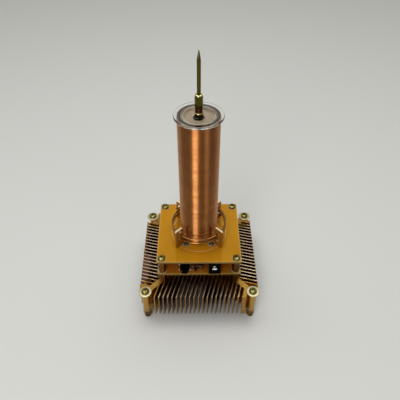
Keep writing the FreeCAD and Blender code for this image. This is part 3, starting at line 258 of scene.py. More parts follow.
def anodised_material():
    """Gold anodised aluminium, drawn along Z, as its grain is. A point is among the fins where its
    distances from the middle along X and Y differ by more than half an arm, and beside a post by the
    post's width more. There the outer edges are worn pale, the sawn upper faces are painted pale as a
    highlight, and the fin sides are painted deeper and redder as shade down between them."""
    arm_half, post_width, post_start, fade = 6.5 * MM, 5.2 * MM, 9.0 * MM, 1.0 * MM
    worn_start, worn_end = 0.4 * MM, 0.2 * MM
    material = metal("gold_anodised", (190, 148, 74), (168, 122, 52), 0.26, (3.0, 3.0, 0.15), 0.03)
    tree, base, plain = base_of(material)
    along_x, along_y, farther = sides_of(tree)
    half = reach_of("heatsink") * MM
    post = spread(tree, farther, half - post_start, half - post_start + fade, 0.0, post_width)
    off_diagonal = maths(tree, "ABSOLUTE", maths(tree, "SUBTRACT", along_x, along_y))
    among_fins = spread(tree, maths(tree, "SUBTRACT", off_diagonal, post), arm_half, arm_half + fade)
    outermost = spread(tree, farther, half - worn_start, half - worn_end)
    upward = spread(tree, facing_up(tree), 0.3, 0.6)
    # Painted shade: the fin sides are dark red, lighter towards the worn outer edges.
    sides = blend(tree, outermost, colour(88, 44, 26), colour(154, 118, 66))
    # Painted highlight: faces that look up are painted pale cream.
    fins = blend(tree, upward, sides, colour(232, 200, 162))
    tree.links.new(blend(tree, among_fins, plain, fins), base)
    return material


eased_copy("heatsink", "heat_sink_extrusion", 0.15, anodised_material(), "gold_anodised", segments=1)


# Hexagonal spacers
# Turned brass hexagons with chamfered ends: the four feet under the corner posts, and two storeys
# of spacers that carry the boards. Each has a threaded hole at one end.

HEX_FLATS = 5.5
HEX_CHAMFER = 0.35
THREAD_RADIUS = 1.5
HOLE_SHARE = 0.6
AROUND = 96


def finish_mesh(mesh, sharp_angle):
    """Merge points that coincide, point the faces outwards and shade smooth, up to an angle."""
    work = bmesh.new()
    work.from_mesh(mesh)
    bmesh.ops.remove_doubles(work, verts=work.verts, dist=0.001 * MM)
    bmesh.ops.dissolve_degenerate(work, edges=work.edges, dist=0.0005 * MM)
    bmesh.ops.recalc_face_normals(work, faces=work.faces)
    work.to_mesh(mesh)
    work.free()
    shade(mesh, sharp_angle)


def grid_mesh(name, points, close_rows=False, close_columns=True, sharp_angle=35):
    """Mesh of quads over one grid of points, rows x columns x 3 in millimetres, or over several; a
    closing direction joins its last line of points to its first."""
    points = points.reshape(-1, *points.shape[-3:])
    copies, rows, columns = points.shape[:3]
    starts = np.arange(copies) * rows * columns
    row = np.arange(rows if close_rows else rows - 1)
    column = np.arange(columns if close_columns else columns - 1)
    start, row, column = np.meshgrid(starts, row, column, indexing="ij")
    next_row, next_column = (row + 1) % rows, (column + 1) % columns
    faces = np.stack((
        start + row * columns + column, start + row * columns + next_column,
        start + next_row * columns + next_column, start + next_row * columns + column), axis=-1)
    mesh = bpy.data.meshes.new(name)
    mesh.from_pydata((points * MM).reshape(-1, 3), [], faces.reshape(-1, 4))
    finish_mesh(mesh, sharp_angle)
    return mesh


def grid_piece(name, points, material, slot, *replaced, **mesh_settings):
    """Piece whose mesh is made of grids of points; it may stand for CAD nodes."""
    return place(name, grid_mesh(name, points, **mesh_settings), material, slot, *replaced)


def about_axis(radius, angle, height):
    """Points about the vertical axis, from their radius, angle and height."""
    return np.stack((radius * np.cos(angle), radius * np.sin(angle), height + 0 * angle), axis=-1)


def copies_at(points, centres):
    """One grid of points repeated with its origin at each centre."""
    return points[None] + np.asarray(centres, float)[:, None, None, :]


def corners_of(half_x, half_y=None):
    """Four centres about the middle, at a half spacing along X and, where it differs, along Y."""
    half_y = half_x if half_y is None else half_y
    return [(x * half_x, y * half_y, 0.0) for x in (-1, 1) for y in (-1, 1)]


def hex_spacer_points(bottom, top, hole_depth, hole_at_bottom):
    """Hexagonal bar about the vertical axis: its radius is the smaller of the hexagon's, half the flats
    over the cosine from the nearest flat's middle, and a cone at each end; a blind hole runs in."""
    angle = np.linspace(0, 2 * np.pi, AROUND, endpoint=False)
    flat = HEX_FLATS / 2
    hexagon = flat / np.cos(angle % (np.pi / 3) - np.pi / 6)
    corner = flat / math.cos(math.pi / 6)
    rings = [
        (0.0, bottom + hole_depth), (THREAD_RADIUS, bottom + hole_depth),
        (THREAD_RADIUS, bottom + 0.3), (THREAD_RADIUS + 0.3, bottom), (flat - 0.15, bottom),
        (flat, bottom + 0.12), (corner - 0.1, bottom + HEX_CHAMFER), (corner, bottom + 2 * HEX_CHAMFER),
        (corner, top - 2 * HEX_CHAMFER), (corner - 0.1, top - HEX_CHAMFER), (flat, top - 0.12),
        (flat - 0.15, top), (0.0, top)]
    radius, height = np.array(rings).T[:, :, None]
    if not hole_at_bottom:
        height = bottom + top - height
    return about_axis(np.minimum(radius, hexagon), angle, height)


def level(node, side):
    """Lowest, 0, or highest, 1, height of a CAD node in millimetres."""
    return box_of(node)[side][2]


def half_spacing(node):
    """Distance of four corner spacers from the middle along X, from the outer reach of their node."""
    return reach_of(node) - HEX_FLATS / 2 / math.cos(math.pi / 6)


sink_base, sink_top = level("heatsink", 0), level("heatsink", 1)
driver_base, driver_top = level("driver_board", 0), level("driver_board", 1)
board_base, board_top = level("top_board", 0), level("top_board", 1)
post_reach = half_spacing("foot_spacers")
hole_reach = half_spacing("lower_spacers")

# The dark brown tone is painted shade: the spacers are darkened for the shadow under the feet and between
# the boards.
dark_brass = metal("dark_brass", (128, 90, 38), (88, 58, 20), 0.28, (0.6, 0.6, 2.0), 0.03)
for spacer, spacing, bottom, top, at_bottom in (
        ("foot_spacers", post_reach, 0.0, sink_base, True),
        ("lower_spacers", hole_reach, sink_top, driver_base, False),
        ("upper_spacers", hole_reach, driver_top, board_base, False)):
    shape = hex_spacer_points(bottom, top, (top - bottom) * HOLE_SHARE, at_bottom)
    bars = copies_at(shape, corners_of(spacing))
    grid_piece(spacer + "_hexagons", bars, dark_brass, "dark_brass", spacer)


# Corner washers
# Flat brass rings under the corner screws, which clamp them to the posts. They are stamped: one face
# is rounded over by the punch, the other is sharp.

WASHER_HOLE_RADIUS = 1.75


def turned_points(profile, around=AROUND):
    """Surface of revolution about the vertical axis: profile points are radius and height."""
    profile = np.asarray(profile, float)
    angle = np.linspace(0, 2 * np.pi, around, endpoint=False)
    return about_axis(profile[:, :1], angle, profile[:, 1:])


def rounded(corners, radii, steps=5):
    """Outline with its corners rounded: each corner is replaced by a curve of second degree between
    the points a radius away from it on its two sides."""
    corners = np.asarray(corners, float)
    share = np.linspace(0, 1, steps)[:, None]
    outline = []
    for index, (corner, radius) in enumerate(zip(corners, radii)):
        if radius == 0:
            outline.append(corner[None])
            continue
        before = corners[index - 1] - corner
        after = corners[(index + 1) % len(corners)] - corner
        first = corner + before / np.linalg.norm(before) * radius
        last = corner + after / np.linalg.norm(after) * radius
        outline.append((1 - share) ** 2 * first + 2 * share * (1 - share) * corner + share ** 2 * last)
    return np.concatenate(outline)


pale_brass = metal("pale_brass", (214, 205, 166), (190, 179, 138), 0.34, (1.5, 1.5, 1.5), 0.03)
washer_top = level("corner_washers", 1)
washer_radius = reach_of("corner_washers") - post_reach
washer_profile = rounded(
    ((WASHER_HOLE_RADIUS, sink_top), (washer_radius, sink_top), (washer_radius, washer_top),
     (WASHER_HOLE_RADIUS, washer_top)), (0.05, 0.1, 0.3, 0.15))
washers = copies_at(turned_points(washer_profile), corners_of(post_reach))
grid_piece("corner_washer_rings", washers, pale_brass, "pale_brass", "corner_washers", close_rows=True)


# Pan-head screws
# Steel screws with a domed head and a cross recess: zinc plated and passivated yellow here, left dark
# at the transistor and the tube's foot. The punched recess narrows downwards and has soft edges.

# Head radius, head height and shank radius.
MAIN_SCREW = (3.0, 2.1, THREAD_RADIUS)


def pan_screw_points(head_radius, head_height, shank_radius, under_head, length, turn):
    """Screw about the vertical axis: a domed head, whose cross recess is a smooth mask of the distance
    from two crossed lines that lowers the dome, then the shank down to a bevelled end."""
    angle = np.linspace(0, 2 * np.pi, 120, endpoint=False)
    share = np.concatenate((np.linspace(0, 0.62, 22), np.linspace(0.66, 1, 12)))[:, None]
    edge = 0.42
    dome = (edge + (1 - edge) * np.sqrt(np.clip(1 - share ** 2.6, 0, 1))) * head_height
    along, across = share * np.cos(angle - turn), share * np.sin(angle - turn)
    small = np.minimum(np.abs(along), np.abs(across))
    large = np.maximum(np.abs(along), np.abs(across))
    inside = np.clip((0.13 - small) / 0.07 + 0.5, 0, 1)
    reach = np.clip((0.56 - large) / 0.22, 0, 1)
    middle_well = np.clip((0.26 - share) / 0.1, 0, 1)
    recess = np.maximum(inside * reach, middle_well) * 0.62 * head_height
    top = about_axis(share * head_radius, angle, under_head + dome - recess)
    skirt = turned_points([
        (head_radius, under_head + 0.12), (head_radius - 0.12, under_head),
        (shank_radius, under_head), (shank_radius, under_head - length + 0.4),
        (shank_radius - 0.4, under_head - length), (0.0, under_head - length)], 120)
    return np.concatenate((top, skirt))


def screw_set(name, centres, sizes, under_head, material, slot, length):
    """Screws of one kind, each driven home at a different angle; they replace the node of the same
    name."""
    turns = 0.4 + 1.1 * np.arange(len(centres))
    grids = np.stack([pan_screw_points(*sizes, under_head, length, turn) + np.array(centre, float)
                      for turn, centre in zip(turns, centres)])
    grid_piece(name + "_cross", grids, material, slot, name, sharp_angle=50)


yellow_zinc = metal("yellow_zinc", (158, 149, 92), (116, 106, 54), 0.2)
for screws, spacing, under in (("corner_screws", post_reach, washer_top),
                               ("top_board_screws", hole_reach, board_top)):
    screw_set(screws, corners_of(spacing), MAIN_SCREW, under, yellow_zinc, "yellow_plated", length=7.5)


# Circuit boards
# Two glass-epoxy boards with an amber lacquer over a copper pour, which gives them a metallic depth.
# Their sawn edges show the greenish laminate, and the fixing holes have bare tinned rings.

BARE_MARGIN = 0.9


def ring_group():
    """Ring mask on object coordinates in millimetres, folded so that one centre stands for four: one
    where the distance from the centre in the XY plane is between two radii, and zero elsewhere, with
    an eased rim."""
    group, start, end = new_group(
        "ring_mask",
        (("Centre", "Vector", (0.0, 0.0, 0.0)), ("Inner", "Float", 1.0), ("Outer", "Float", 2.0)),
        (("Mask", "Float"),))
    folded = vector_maths(group, "ABSOLUTE", in_millimetres(group))
    offset = vector_maths(group, "SUBTRACT", folded, start["Centre"])
    flat = vector_maths(group, "MULTIPLY", offset, (1.0, 1.0, 0.0))
    distance = add_node(group, "VectorMath", {"operation": "LENGTH"}, {0: flat}).outputs["Value"]
    mean = maths(group, "MULTIPLY", maths(group, "ADD", start["Inner"], start["Outer"]), 0.5)
    half_width = maths(group, "SUBTRACT", start["Outer"], mean)
    away = maths(group, "ABSOLUTE", maths(group, "SUBTRACT", distance, mean))
    within = maths(group, "SUBTRACT", half_width, away)
    rim = 0.08
    group.links.new(spread(group, within, 0.0, rim), end["Mask"])
    return group


ring_mask = ring_group()


def board_material(name, tone, deep, rings):
    """Lacquered board: the tone varies slowly, a margin along the outline has no copper under the
    lacquer, rings of tin or print lie on it, each a centre, two radii and a colour, and the sawn edges,
    told by their normals, show the laminate."""
    material, tree, shader = new_material(
        name, Metallic=0.12, Specular_IOR_Level=1.0, Specular_Tint=colour(255, 196, 90))
    grain, streak = grain_of(tree, (0.9, 0.9, 0.9), 0.06, 0.12)
    face = blend(tree, spread(tree, streak, 0.3, 0.7), colour(*deep), colour(*tone))
    margin_start = (board_half - BARE_MARGIN) * MM
    bare = spread(tree, sides_of(tree)[2], margin_start, margin_start + 0.15 * MM)
    face = blend(tree, bare, face, colour(206, 160, 76))
    for centre, inner, outer, paint in rings:
        ring = add_node(tree, "Group", {"node_tree": ring_mask},
                        {"Centre": centre, "Inner": inner, "Outer": outer})
        face = blend(tree, ring.outputs["Mask"], face, paint)
    sawn = spread(tree, maths(tree, "ABSOLUTE", facing_up(tree)), 0.5, 0.3)
    feed(tree, shader, blend(tree, sawn, face, colour(104, 88, 40)), grain, 0.03)
    return material


board_half = reach_of("top_board")
SMALL_SCREW = (2.1, 1.5, 1.0)
small_x, small_y = box_of("tube_base_screws")[1][:2] - SMALL_SCREW[0]
bare_tin = colour(206, 198, 168)
SCREW_PAD = ((hole_reach, hole_reach, 0.0), 1.7, 3.4, bare_tin)
SMALL_PAD = ((small_x, small_y, 0.0), 1.0, 2.6, bare_tin)
PRINTED_CIRCLE = ((0.0, 0.0, 0.0), 21.2, 21.6, colour(244, 212, 146))
top_lacquer = board_material("top_board_lacquer", (209, 149, 31), (201, 137, 23),
                             (SCREW_PAD, SMALL_PAD, PRINTED_CIRCLE))
# The driver board's darker, redder tone is painted shade from the top board above it.
shaded_driver_lacquer = board_material("driver_board_shaded_lacquer", (186, 116, 34), (168, 100, 26), (SCREW_PAD,))
eased_copy("top_board", "top_board_slab", 0.12, top_lacquer, "amber_board")
eased_copy("driver_board", "driver_board_slab", 0.12, shaded_driver_lacquer, "amber_board")


# Power transistor
# A flat black case on a metal tab, screwed to the heat sink's core over a grey insulating pad, with
# three tinned legs bent up through the driver board.

def plastic(name, tone, low, high, bump=0.08, coat=0.0, shine=0.2):
    """Moulded plastic: a fine even grain moves the roughness between two values and a low bump, and its
    slow streaks lighten and darken the tone."""
    material, tree, shader = new_material(
        name, Specular_IOR_Level=shine, Coat_Weight=coat, Coat_Roughness=0.1)
    grain, streak = grain_of(tree, (4.0, 4.0, 4.0), low, high)
    fade = spread(tree, streak, 0.3, 0.7, 0.75, 1.3)
    toned = add_node(tree, "VectorMath", {"operation": "SCALE"}, {0: colour(*tone)[:3], "Scale": fade})
    feed(tree, shader, toned.outputs[0], grain, bump)
    return material


def middle_of(node):
    """Middle of a CAD node in millimetres."""
    low, high = box_of(node)
    return (low + high) / 2


black_case = plastic("black_case", (30, 28, 27), 0.38, 0.55)
grey_pad = plastic("grey_silicone_pad", (150, 152, 150), 0.6, 0.75, 0.15)
tinned = metal("tinned_metal", (232, 230, 220), (196, 192, 178), 0.22)
dark_steel = metal("dark_steel", (120, 112, 96), (74, 66, 54), 0.28)
eased_copy("power_transistor", "transistor_case", 0.2, black_case, "black_plastic")
cover(nodes["thermal_pad"].data, grey_pad)
cover(nodes["transistor_legs"].data, tinned)
screw_set("transistor_screw", [(*middle_of("transistor_screw")[:2], 0.0)], MAIN_SCREW,
          level("transistor_screw", 1) - MAIN_SCREW[1], dark_steel, "dark_steel", length=6.5)


# Pins between the boards
# Four square tinned pins in a black strip carry the drive from the driver board to the top board; a
# hollow cone of solder holds each pin where it comes out of the top board.

LINK_PITCH = 2.54

eased_copy("link_strip", "link_pin_strip", 0.15, black_case, "black_plastic")
cover(nodes["link_pins"].data, tinned)


def solder_points(foot, neck, height):
    """Solder fillet about the vertical axis: its radius falls from the foot to the neck with the
    square of the distance from the top, which gives the hollow cone of wetted solder."""
    share = np.linspace(0, 1, 9)
    radius = neck + (foot - neck) * (1 - share) ** 2
    profile = np.column_stack((np.append(radius, 0.0), np.append(share * height, height)))
    return turned_points(profile, 24)


link_y = middle_of("link_pins")[1]
link_centres = [((index - 1.5) * LINK_PITCH, link_y, board_top) for index in range(4)]
pin_solder = copies_at(solder_points(foot=0.95, neck=0.42, height=0.8), link_centres)
grid_piece("pin_solder", pin_solder, tinned, "tinned_metal")


# Sockets
# A square black power socket with a sprung leaf and a centre pin, and a low audio socket with a round
# nose in front. Both are moulded plastic, and the audio socket's tinned tabs are soldered down.

LEAF_SHEET = 0.35
TAB_HALF_LENGTH, TAB_HALF_WIDTH, TAB_HEIGHT = 0.7, 0.8, 0.5

socket_black = plastic("socket_black", (5, 5, 5), 0.36, 0.5, 0.05, shine=0.02)
eased_copy("power_socket", "power_socket_shell", 0.25, socket_black, "black_plastic")
bright_tin = metal("bright_tin", (252, 251, 247), (244, 242, 236), 0.34)
cover(nodes["power_socket_pin"].data, bright_tin)


def leaf_points():
    """Spring leaf carried along Y: its height rises steeply in a straight line from the front lip,
    rounds over and falls back in a straight line; the underside follows the top, a sheet lower."""
    low, high = box_of("power_socket_leaf")
    y = np.append(low[1] + np.array([0.0, 0.08, 0.62, 0.74, 0.95, 1.2]), high[1])
    z = low[2] + np.array([0.05, 0.12, 0.86, 0.94, 0.99, 0.98, 0.4]) * (high[2] - low[2])
    under = np.maximum(z[::-1] - LEAF_SHEET, low[2])
    profile = np.stack((np.append(y, y[::-1]), np.append(z, under)), axis=-1)
    x = np.array([low[0], low[0] + 0.12, high[0] - 0.12, high[0]])
    grid = np.empty((4, len(profile), 3))
    grid[..., 0] = x[:, None]
    grid[..., 1:] = profile
    ends = grid[[0, -1]].copy()
    ends[..., 1:] = profile.mean(axis=0)
    return np.concatenate((ends[:1], grid, ends[1:]))


grid_piece("power_leaf", leaf_points(), bright_tin, "tinned_metal", "power_socket_leaf")
eased_copy("audio_socket", "audio_socket_shell", 0.2, socket_black, "black_plastic")


def pillow_points(half_length, half_width, height, power=3.0):
    """Soldered tab: an eased pad whose height falls off as the share of a rounded square, the sum of
    the powers of the two distances from its middle, nears one."""
    share = np.linspace(0, 1, 12)[:, None]
    angle = np.linspace(0, 2 * np.pi, 40, endpoint=False)
    square = (np.abs(np.cos(angle)) ** power + np.abs(np.sin(angle)) ** power) ** (-1 / power)
    dome = height * (1 - share ** 4) ** 0.5 + 0 * angle
    return np.stack((share * square * np.cos(angle) * half_length,
                     share * square * np.sin(angle) * half_width, dome), axis=-1)


tab_low, tab_high = box_of("audio_socket_tabs")
tab_centres = [(x, y, driver_top) for x in (tab_low[0] + TAB_HALF_LENGTH, tab_high[0] - TAB_HALF_LENGTH)
               for y in (tab_low[1] + TAB_HALF_WIDTH, tab_high[1] - TAB_HALF_WIDTH)]
tab_solder = copies_at(pillow_points(TAB_HALF_LENGTH, TAB_HALF_WIDTH, TAB_HEIGHT), tab_centres)
grid_piece("audio_tab_solder", tab_solder, bright_tin, "tinned_metal", "audio_socket_tabs", sharp_angle=70)


# Slide switch
# A folded sheet shell over a black base; the slider's plate runs behind the window, and its plain
# black knob sticks out to the front.

switch_steel = metal("switch_steel", (156, 134, 126), (120, 100, 94), 0.3, (0.6, 3.0, 3.0), 0.03)
eased_copy("switch_shell", "switch_cover", 0.08, switch_steel, "tinned_metal")
eased_copy("switch_base", "switch_moulding", 0.1, black_case, "black_plastic")
slider_black = plastic("slider_black", (26, 22, 22), 0.35, 0.5)
eased_copy("switch_slider", "switch_knob", 0.15, slider_black, "black_plastic", body="switch")


# Driver parts
# The driver chip, a bulk capacitor in a plain sleeve, a film capacitor and a block of small
# chip resistors and capacitors, all soldered to the driver board.

CRIMP_HEIGHT, CRIMP_HALF_WIDTH, CRIMP_DEPTH = 1.6, 0.5, 0.45
LID_RIM, LID_DEPTH = 0.6, 0.25

sleeve = plastic("dark_sleeve", (36, 32, 30), 0.22, 0.34, 0.02, coat=0.3)
ceramic = plastic("chip_ceramic", (140, 112, 80), 0.45, 0.6)
eased_copy("driver_chip", "driver_chip_case", 0.12, black_case, "black_plastic")
cover(nodes["driver_chip_legs"].data, tinned)
eased_copy("film_capacitor", "film_capacitor_case", 0.5, sleeve, "dark_sleeve")
eased_copy("chip_parts", "chip_part_bodies", 0.06, ceramic, "chip_ceramic", segments=1)

can_low, can_high = box_of("bulk_capacitor")
can_radius = (can_high[0] - can_low[0]) / 2
can_top = can_high[2]
crimp = driver_top + CRIMP_HEIGHT
can_profile = rounded(
    ((0.0, driver_top), (can_radius, driver_top), (can_radius, crimp - CRIMP_HALF_WIDTH),
     (can_radius - CRIMP_DEPTH, crimp), (can_radius, crimp + CRIMP_HALF_WIDTH), (can_radius, can_top),
     (can_radius - LID_RIM, can_top), (can_radius - LID_RIM - 0.1, can_top - LID_DEPTH),
     (0.0, can_top - LID_DEPTH)),
    (0, 0.3, 0.3, 0.35, 0.3, 0.3, 0.1, 0.1, 0))
can = turned_points(can_profile) + np.array([*middle_of("bulk_capacitor")[:2], 0.0])
grid_piece("bulk_capacitor_can", can, sleeve, "dark_sleeve", "bulk_capacitor")


# Primary supports
# Four upright plates of the same laminate, tabbed into the top board; each has three plated holes,
# and the wire is threaded through them as it climbs.

SUPPORT_THICKNESS = 1.6
HOLES = 3
# Place of each support's lowest hole, in quarter turns of the wire from the rear right support.
SUPPORT_QUARTERS = {"rear_right": 0, "rear_left": 1, "front_left": 2, "front_right": -1}
PRIMARY_STAND_OFF = 6.7
PRIMARY_RADIUS = reach_of("secondary_tube") + PRIMARY_STAND_OFF
PRIMARY_PITCH = 3.4
PRIMARY_START = 6.5


def support_material():
    """Laminate plates: lacquered amber on their faces, painted darker brown as shade; bare glass fibre
    on the sawn top edges, told by the normal, painted near white as a highlight; a fine grain moves the
    tone."""
    material, tree, shader = new_material(
        "support_laminate", Metallic=0.2, Specular_Tint=colour(255, 200, 100), Coat_Weight=0.4,
        Coat_Roughness=0.12)
    grain, streak = grain_of(tree, (1.2, 1.2, 1.2), 0.32, 0.46)
    # Painted shade: the faces are darker than the boards' lacquer of the same laminate.
    face = blend(tree, spread(tree, streak, 0.3, 0.7), colour(142, 92, 20), colour(160, 106, 28))
    # Painted highlight, over the pale glass fibre: faces that look up are near white.
    sawn = spread(tree, facing_up(tree), 0.25, 0.5)
    feed(tree, shader, blend(tree, sawn, face, colour(255, 238, 198)), grain)
    return material


support_lacquer = support_material()
for name in SUPPORT_QUARTERS:
    eased_copy("primary_support_" + name, "support_" + name, 0.12, support_lacquer, "amber_board")


def helix_height(quarters):
    """Height of the primary's middle line after some quarter turns from the rear right support."""
    return board_top + PRIMARY_START + PRIMARY_PITCH * quarters / 4


def eyelets():
    """Plated rings on both faces of each support: a ring turned about the wire's direction, which is
    the support's own normal, at every hole's radius and height."""
    flat_ring = turned_points([(0.98, -0.06), (1.0, 0.05), (1.5, 0.04), (1.55, -0.06)], 36)
    around, upward, outside = flat_ring[..., 0:1], flat_ring[..., 1:2], flat_ring[..., 2:3]
    upright = np.array([0.0, 0.0, 1.0])
    rings = []
    for quarter in SUPPORT_QUARTERS.values():
        turn = math.radians(45 + 90 * quarter)
        outward = np.array([math.cos(turn), math.sin(turn), 0.0])
        along = np.array([-math.sin(turn), math.cos(turn), 0.0])
        for hole in range(HOLES):
            centre = outward * PRIMARY_RADIUS + upright * helix_height(quarter + 4 * hole)
            for side in (-1, 1):
                depth = side * (outside + SUPPORT_THICKNESS / 2)
                rings.append(around * outward + upward * upright + depth * along + centre)
    return np.stack(rings)


hole_plating = metal("hole_plating", (214, 206, 186), (170, 160, 136), 0.3)
grid_piece("support_eyelets", eyelets(), hole_plating, "tinned_metal", close_rows=True)


# Primary winding
# One length of bare drawn copper wire, wound two and a quarter turns through the supports' holes; its
# straight ends stick out past the two rear supports, where they are soldered.

WIRE_RADIUS = 0.75
PRIMARY_QUARTERS = 9
TAIL_LENGTH = 5.0
TAIL_STEPS = 5
DROP_LENGTH, DROP_FOOT = 1.8, 0.75


def primary_line():
    """Middle line of the primary, with its direction and its outward normal: a helix whose angle
    grows by a quarter turn per unit, led in and out by straight tails along its end tangents."""
    quarters = np.linspace(0, PRIMARY_QUARTERS, 24 * PRIMARY_QUARTERS + 1)
    angle = np.pi / 4 + np.pi / 2 * quarters
    outward = about_axis(1.0, angle, 0.0)
    point = about_axis(PRIMARY_RADIUS, angle, helix_height(quarters))
    rise = PRIMARY_PITCH / (2 * np.pi * PRIMARY_RADIUS)
    direction = np.stack((-np.sin(angle), np.cos(angle), rise + 0 * angle), axis=-1)
    direction /= np.linalg.norm(direction, axis=1, keepdims=True)
    out = np.linspace(0, 1, TAIL_STEPS + 1)[1:, None] * TAIL_LENGTH
    point = np.concatenate((point[0] - out[::-1] * direction[0], point, point[-1] + out * direction[-1]))
    kept = np.clip(np.arange(len(point)) - TAIL_STEPS, 0, len(angle) - 1)
    return point, direction[kept], outward[kept]


def wire_points(point, direction, outward, radius, around=24, closed_ends=True):
    """Round wire carried along a line: each ring lies in the plane of the outward normal and its
    cross product with the direction; the first and last rings shrink to close the ends."""
    side = np.cross(direction, outward)
    side /= np.linalg.norm(side, axis=1, keepdims=True)
    normal = np.cross(side, direction)
    angle = np.linspace(0, 2 * np.pi, around, endpoint=False)[:, None]
    size = np.full(len(point), radius)
    if closed_ends:
        ends = [0, 0, *range(len(point)), -1, -1]
        point, normal, side = point[ends], normal[ends], side[ends]
        size = np.concatenate(([0.0, radius * 0.9], size, [radius * 0.9, 0.0]))
    circle = np.cos(angle) * normal[:, None, :] + np.sin(angle) * side[:, None, :]
    return point[:, None, :] + size[:, None, None] * circle


bare_copper = metal("bare_copper", (190, 138, 76), (146, 94, 46), 0.2, (1.2, 1.2, 1.2), 0.03)
primary = wire_points(*primary_line(), WIRE_RADIUS)
grid_piece("primary_wire", primary, bare_copper, "bare_copper", "primary_winding")


def wire_solder():
    """Solder at the two rear supports: a drop turned about the wire, whose radius falls off with the
    square of the distance from the plate, on the side where the wire leaves."""
    point, direction, outward = primary_line()
    share = np.linspace(0, 1, 10)
    ring_size = WIRE_RADIUS + 0.02 + DROP_FOOT * (1 - share) ** 2
    drops = []
    for index, sense in ((TAIL_STEPS, -1), (len(point) - 1 - TAIL_STEPS, 1)):
        away = sense * direction[index]
        line = point[index] + away * SUPPORT_THICKNESS / 2 + away * share[:, None] * DROP_LENGTH
        same = [index] * len(share)
        unit = wire_points(line, direction[same], outward[same], 1.0, closed_ends=False)
        drops.append(line[:, None, :] + (unit - line[:, None, :]) * ring_size[:, None, None])
    return np.stack(drops)


grid_piece("primary_solder", wire_solder(), tinned, "tinned_metal")


# Secondary tube and base
# A clear acrylic tube stands on a clear base disc under the top board; four small dark screws from
# above hold the base disc up against the board.

def clear_plastic(name, tint, roughness, clearness=1.0):
    """Clear acrylic: light goes through it, with a faint tint and fine rubbed haze."""
    material, tree, shader = new_material(
        name, Base_Color=(*tint, 1.0), Transmission_Weight=clearness, IOR=1.49)
    haze = grain_of(tree, (0.8, 0.8, 0.8), roughness * 0.5, roughness * 1.5)[0]
    tree.links.new(haze, shader.inputs["Roughness"])
    return material


acrylic = clear_plastic("clear_acrylic", (0.97, 0.965, 0.95), 0.04)
cover(nodes["secondary_tube"].data, acrylic)
eased_copy("tube_base_disc", "base_disc", 0.3, acrylic, "clear_plastic")
screw_set("tube_base_screws", corners_of(small_x, small_y), SMALL_SCREW, board_top, dark_steel,
          "dark_steel", length=3.9)


# Secondary winding
# One layer of fine enamelled copper wire, wound close on the tube from end to end as one unbroken
# wire; each turn touches the next, so the surface is finely ribbed.

TURN = 0.3
TURN_POINTS = 72
RIDGE = 0.1
tube_radius = reach_of("secondary_tube")


def secondary_mesh():
    """Close winding: at every step along the helix a ridge has a foot and two crests, and the next
    turn's foot, one turn further on, closes it. An inner wall on the tube and a ring at each end make
    it one closed skin."""
    low, high = level("secondary_winding", 0), level("secondary_winding", 1)
    outer, inner = reach_of("secondary_winding"), tube_radius + 0.01
    turns = int((high - low) / TURN) - 1
    last = turns * TURN_POINTS

    def line(steps, radius, rise):
        """Helix whose angle and height grow with the steps, a turn and its pitch together."""
        angle = 2 * np.pi * steps / TURN_POINTS
        return about_axis(radius, angle, low + TURN * steps / TURN_POINTS + rise)

    every = np.arange(last + 1)
    feet = np.arange(last + TURN_POINTS + 1)
    ends = np.arange(TURN_POINTS + 1)
    points = np.concatenate((
        line(feet, outer - RIDGE, 0.0), line(every, outer, TURN * 0.42), line(every, outer, TURN * 0.58),
        line(ends, inner, 0.0), line(ends + last, inner, 0.0)))
    crest = len(feet) + every
    shoulder = crest + len(every)
    base = len(feet) + 2 * len(every) + ends
    rim = base + len(ends)

    def strip(lower, upper):
        """Quads between two rows of points, given by their numbers."""
        return np.stack((lower[:-1], lower[1:], upper[1:], upper[:-1]), axis=-1)

    faces = np.concatenate((
        strip(feet[:last + 1], crest), strip(crest, shoulder), strip(shoulder, feet[TURN_POINTS:]),
        strip(base, feet[:TURN_POINTS + 1]), strip(feet[last:], rim), strip(rim, base)))
    first_end = [0, crest[0], shoulder[0], feet[TURN_POINTS], base[-1], base[0]]
    last_end = [feet[last], rim[0], rim[-1], feet[-1], shoulder[-1], crest[-1]]
    mesh = bpy.data.meshes.new("secondary_wire")
    mesh.from_pydata(points * MM, [], [*faces.tolist(), first_end, last_end])
    finish_mesh(mesh, 60)
    return mesh


def enamel_material():
    """Enamelled copper: metal under a thin varnish, with a tone that changes slowly up the winding
    and from turn to turn."""
    material, tree, shader = new_material(
        "enamelled_copper", Metallic=1.0, Coat_Weight=0.5, Coat_Roughness=0.2)
    grain, streak = grain_of(tree, (0.2, 0.2, 6.0), 0.2, 0.26)
    tone = blend(tree, spread(tree, streak, 0.3, 0.7), colour(178, 106, 44), colour(202, 138, 74))
    feed(tree, shader, tone, grain)
    return material


place("secondary_wire", secondary_mesh(), enamel_material(), "copper_wire", "secondary_winding")


# Top disc
# A clear acrylic disc, turned with a polished eased rim and a spigot that fits the tube and is sanded
# underneath. A dark ring on the tube's end is painted shade for the dark look of the tube's wall, and a
# pale ring in the neck turned above the spigot is a painted highlight for the bright crescent inside.

TUBE_WALL = 2.0
STUD_HOLE_RADIUS = 1.55
NECK_RADIUS = 10.3
NECK_DEPTH = 1.3
REBATE_HEIGHT = 0.25

hazy_acrylic = clear_plastic("hazy_acrylic", (0.98, 0.95, 0.89), 0.05)
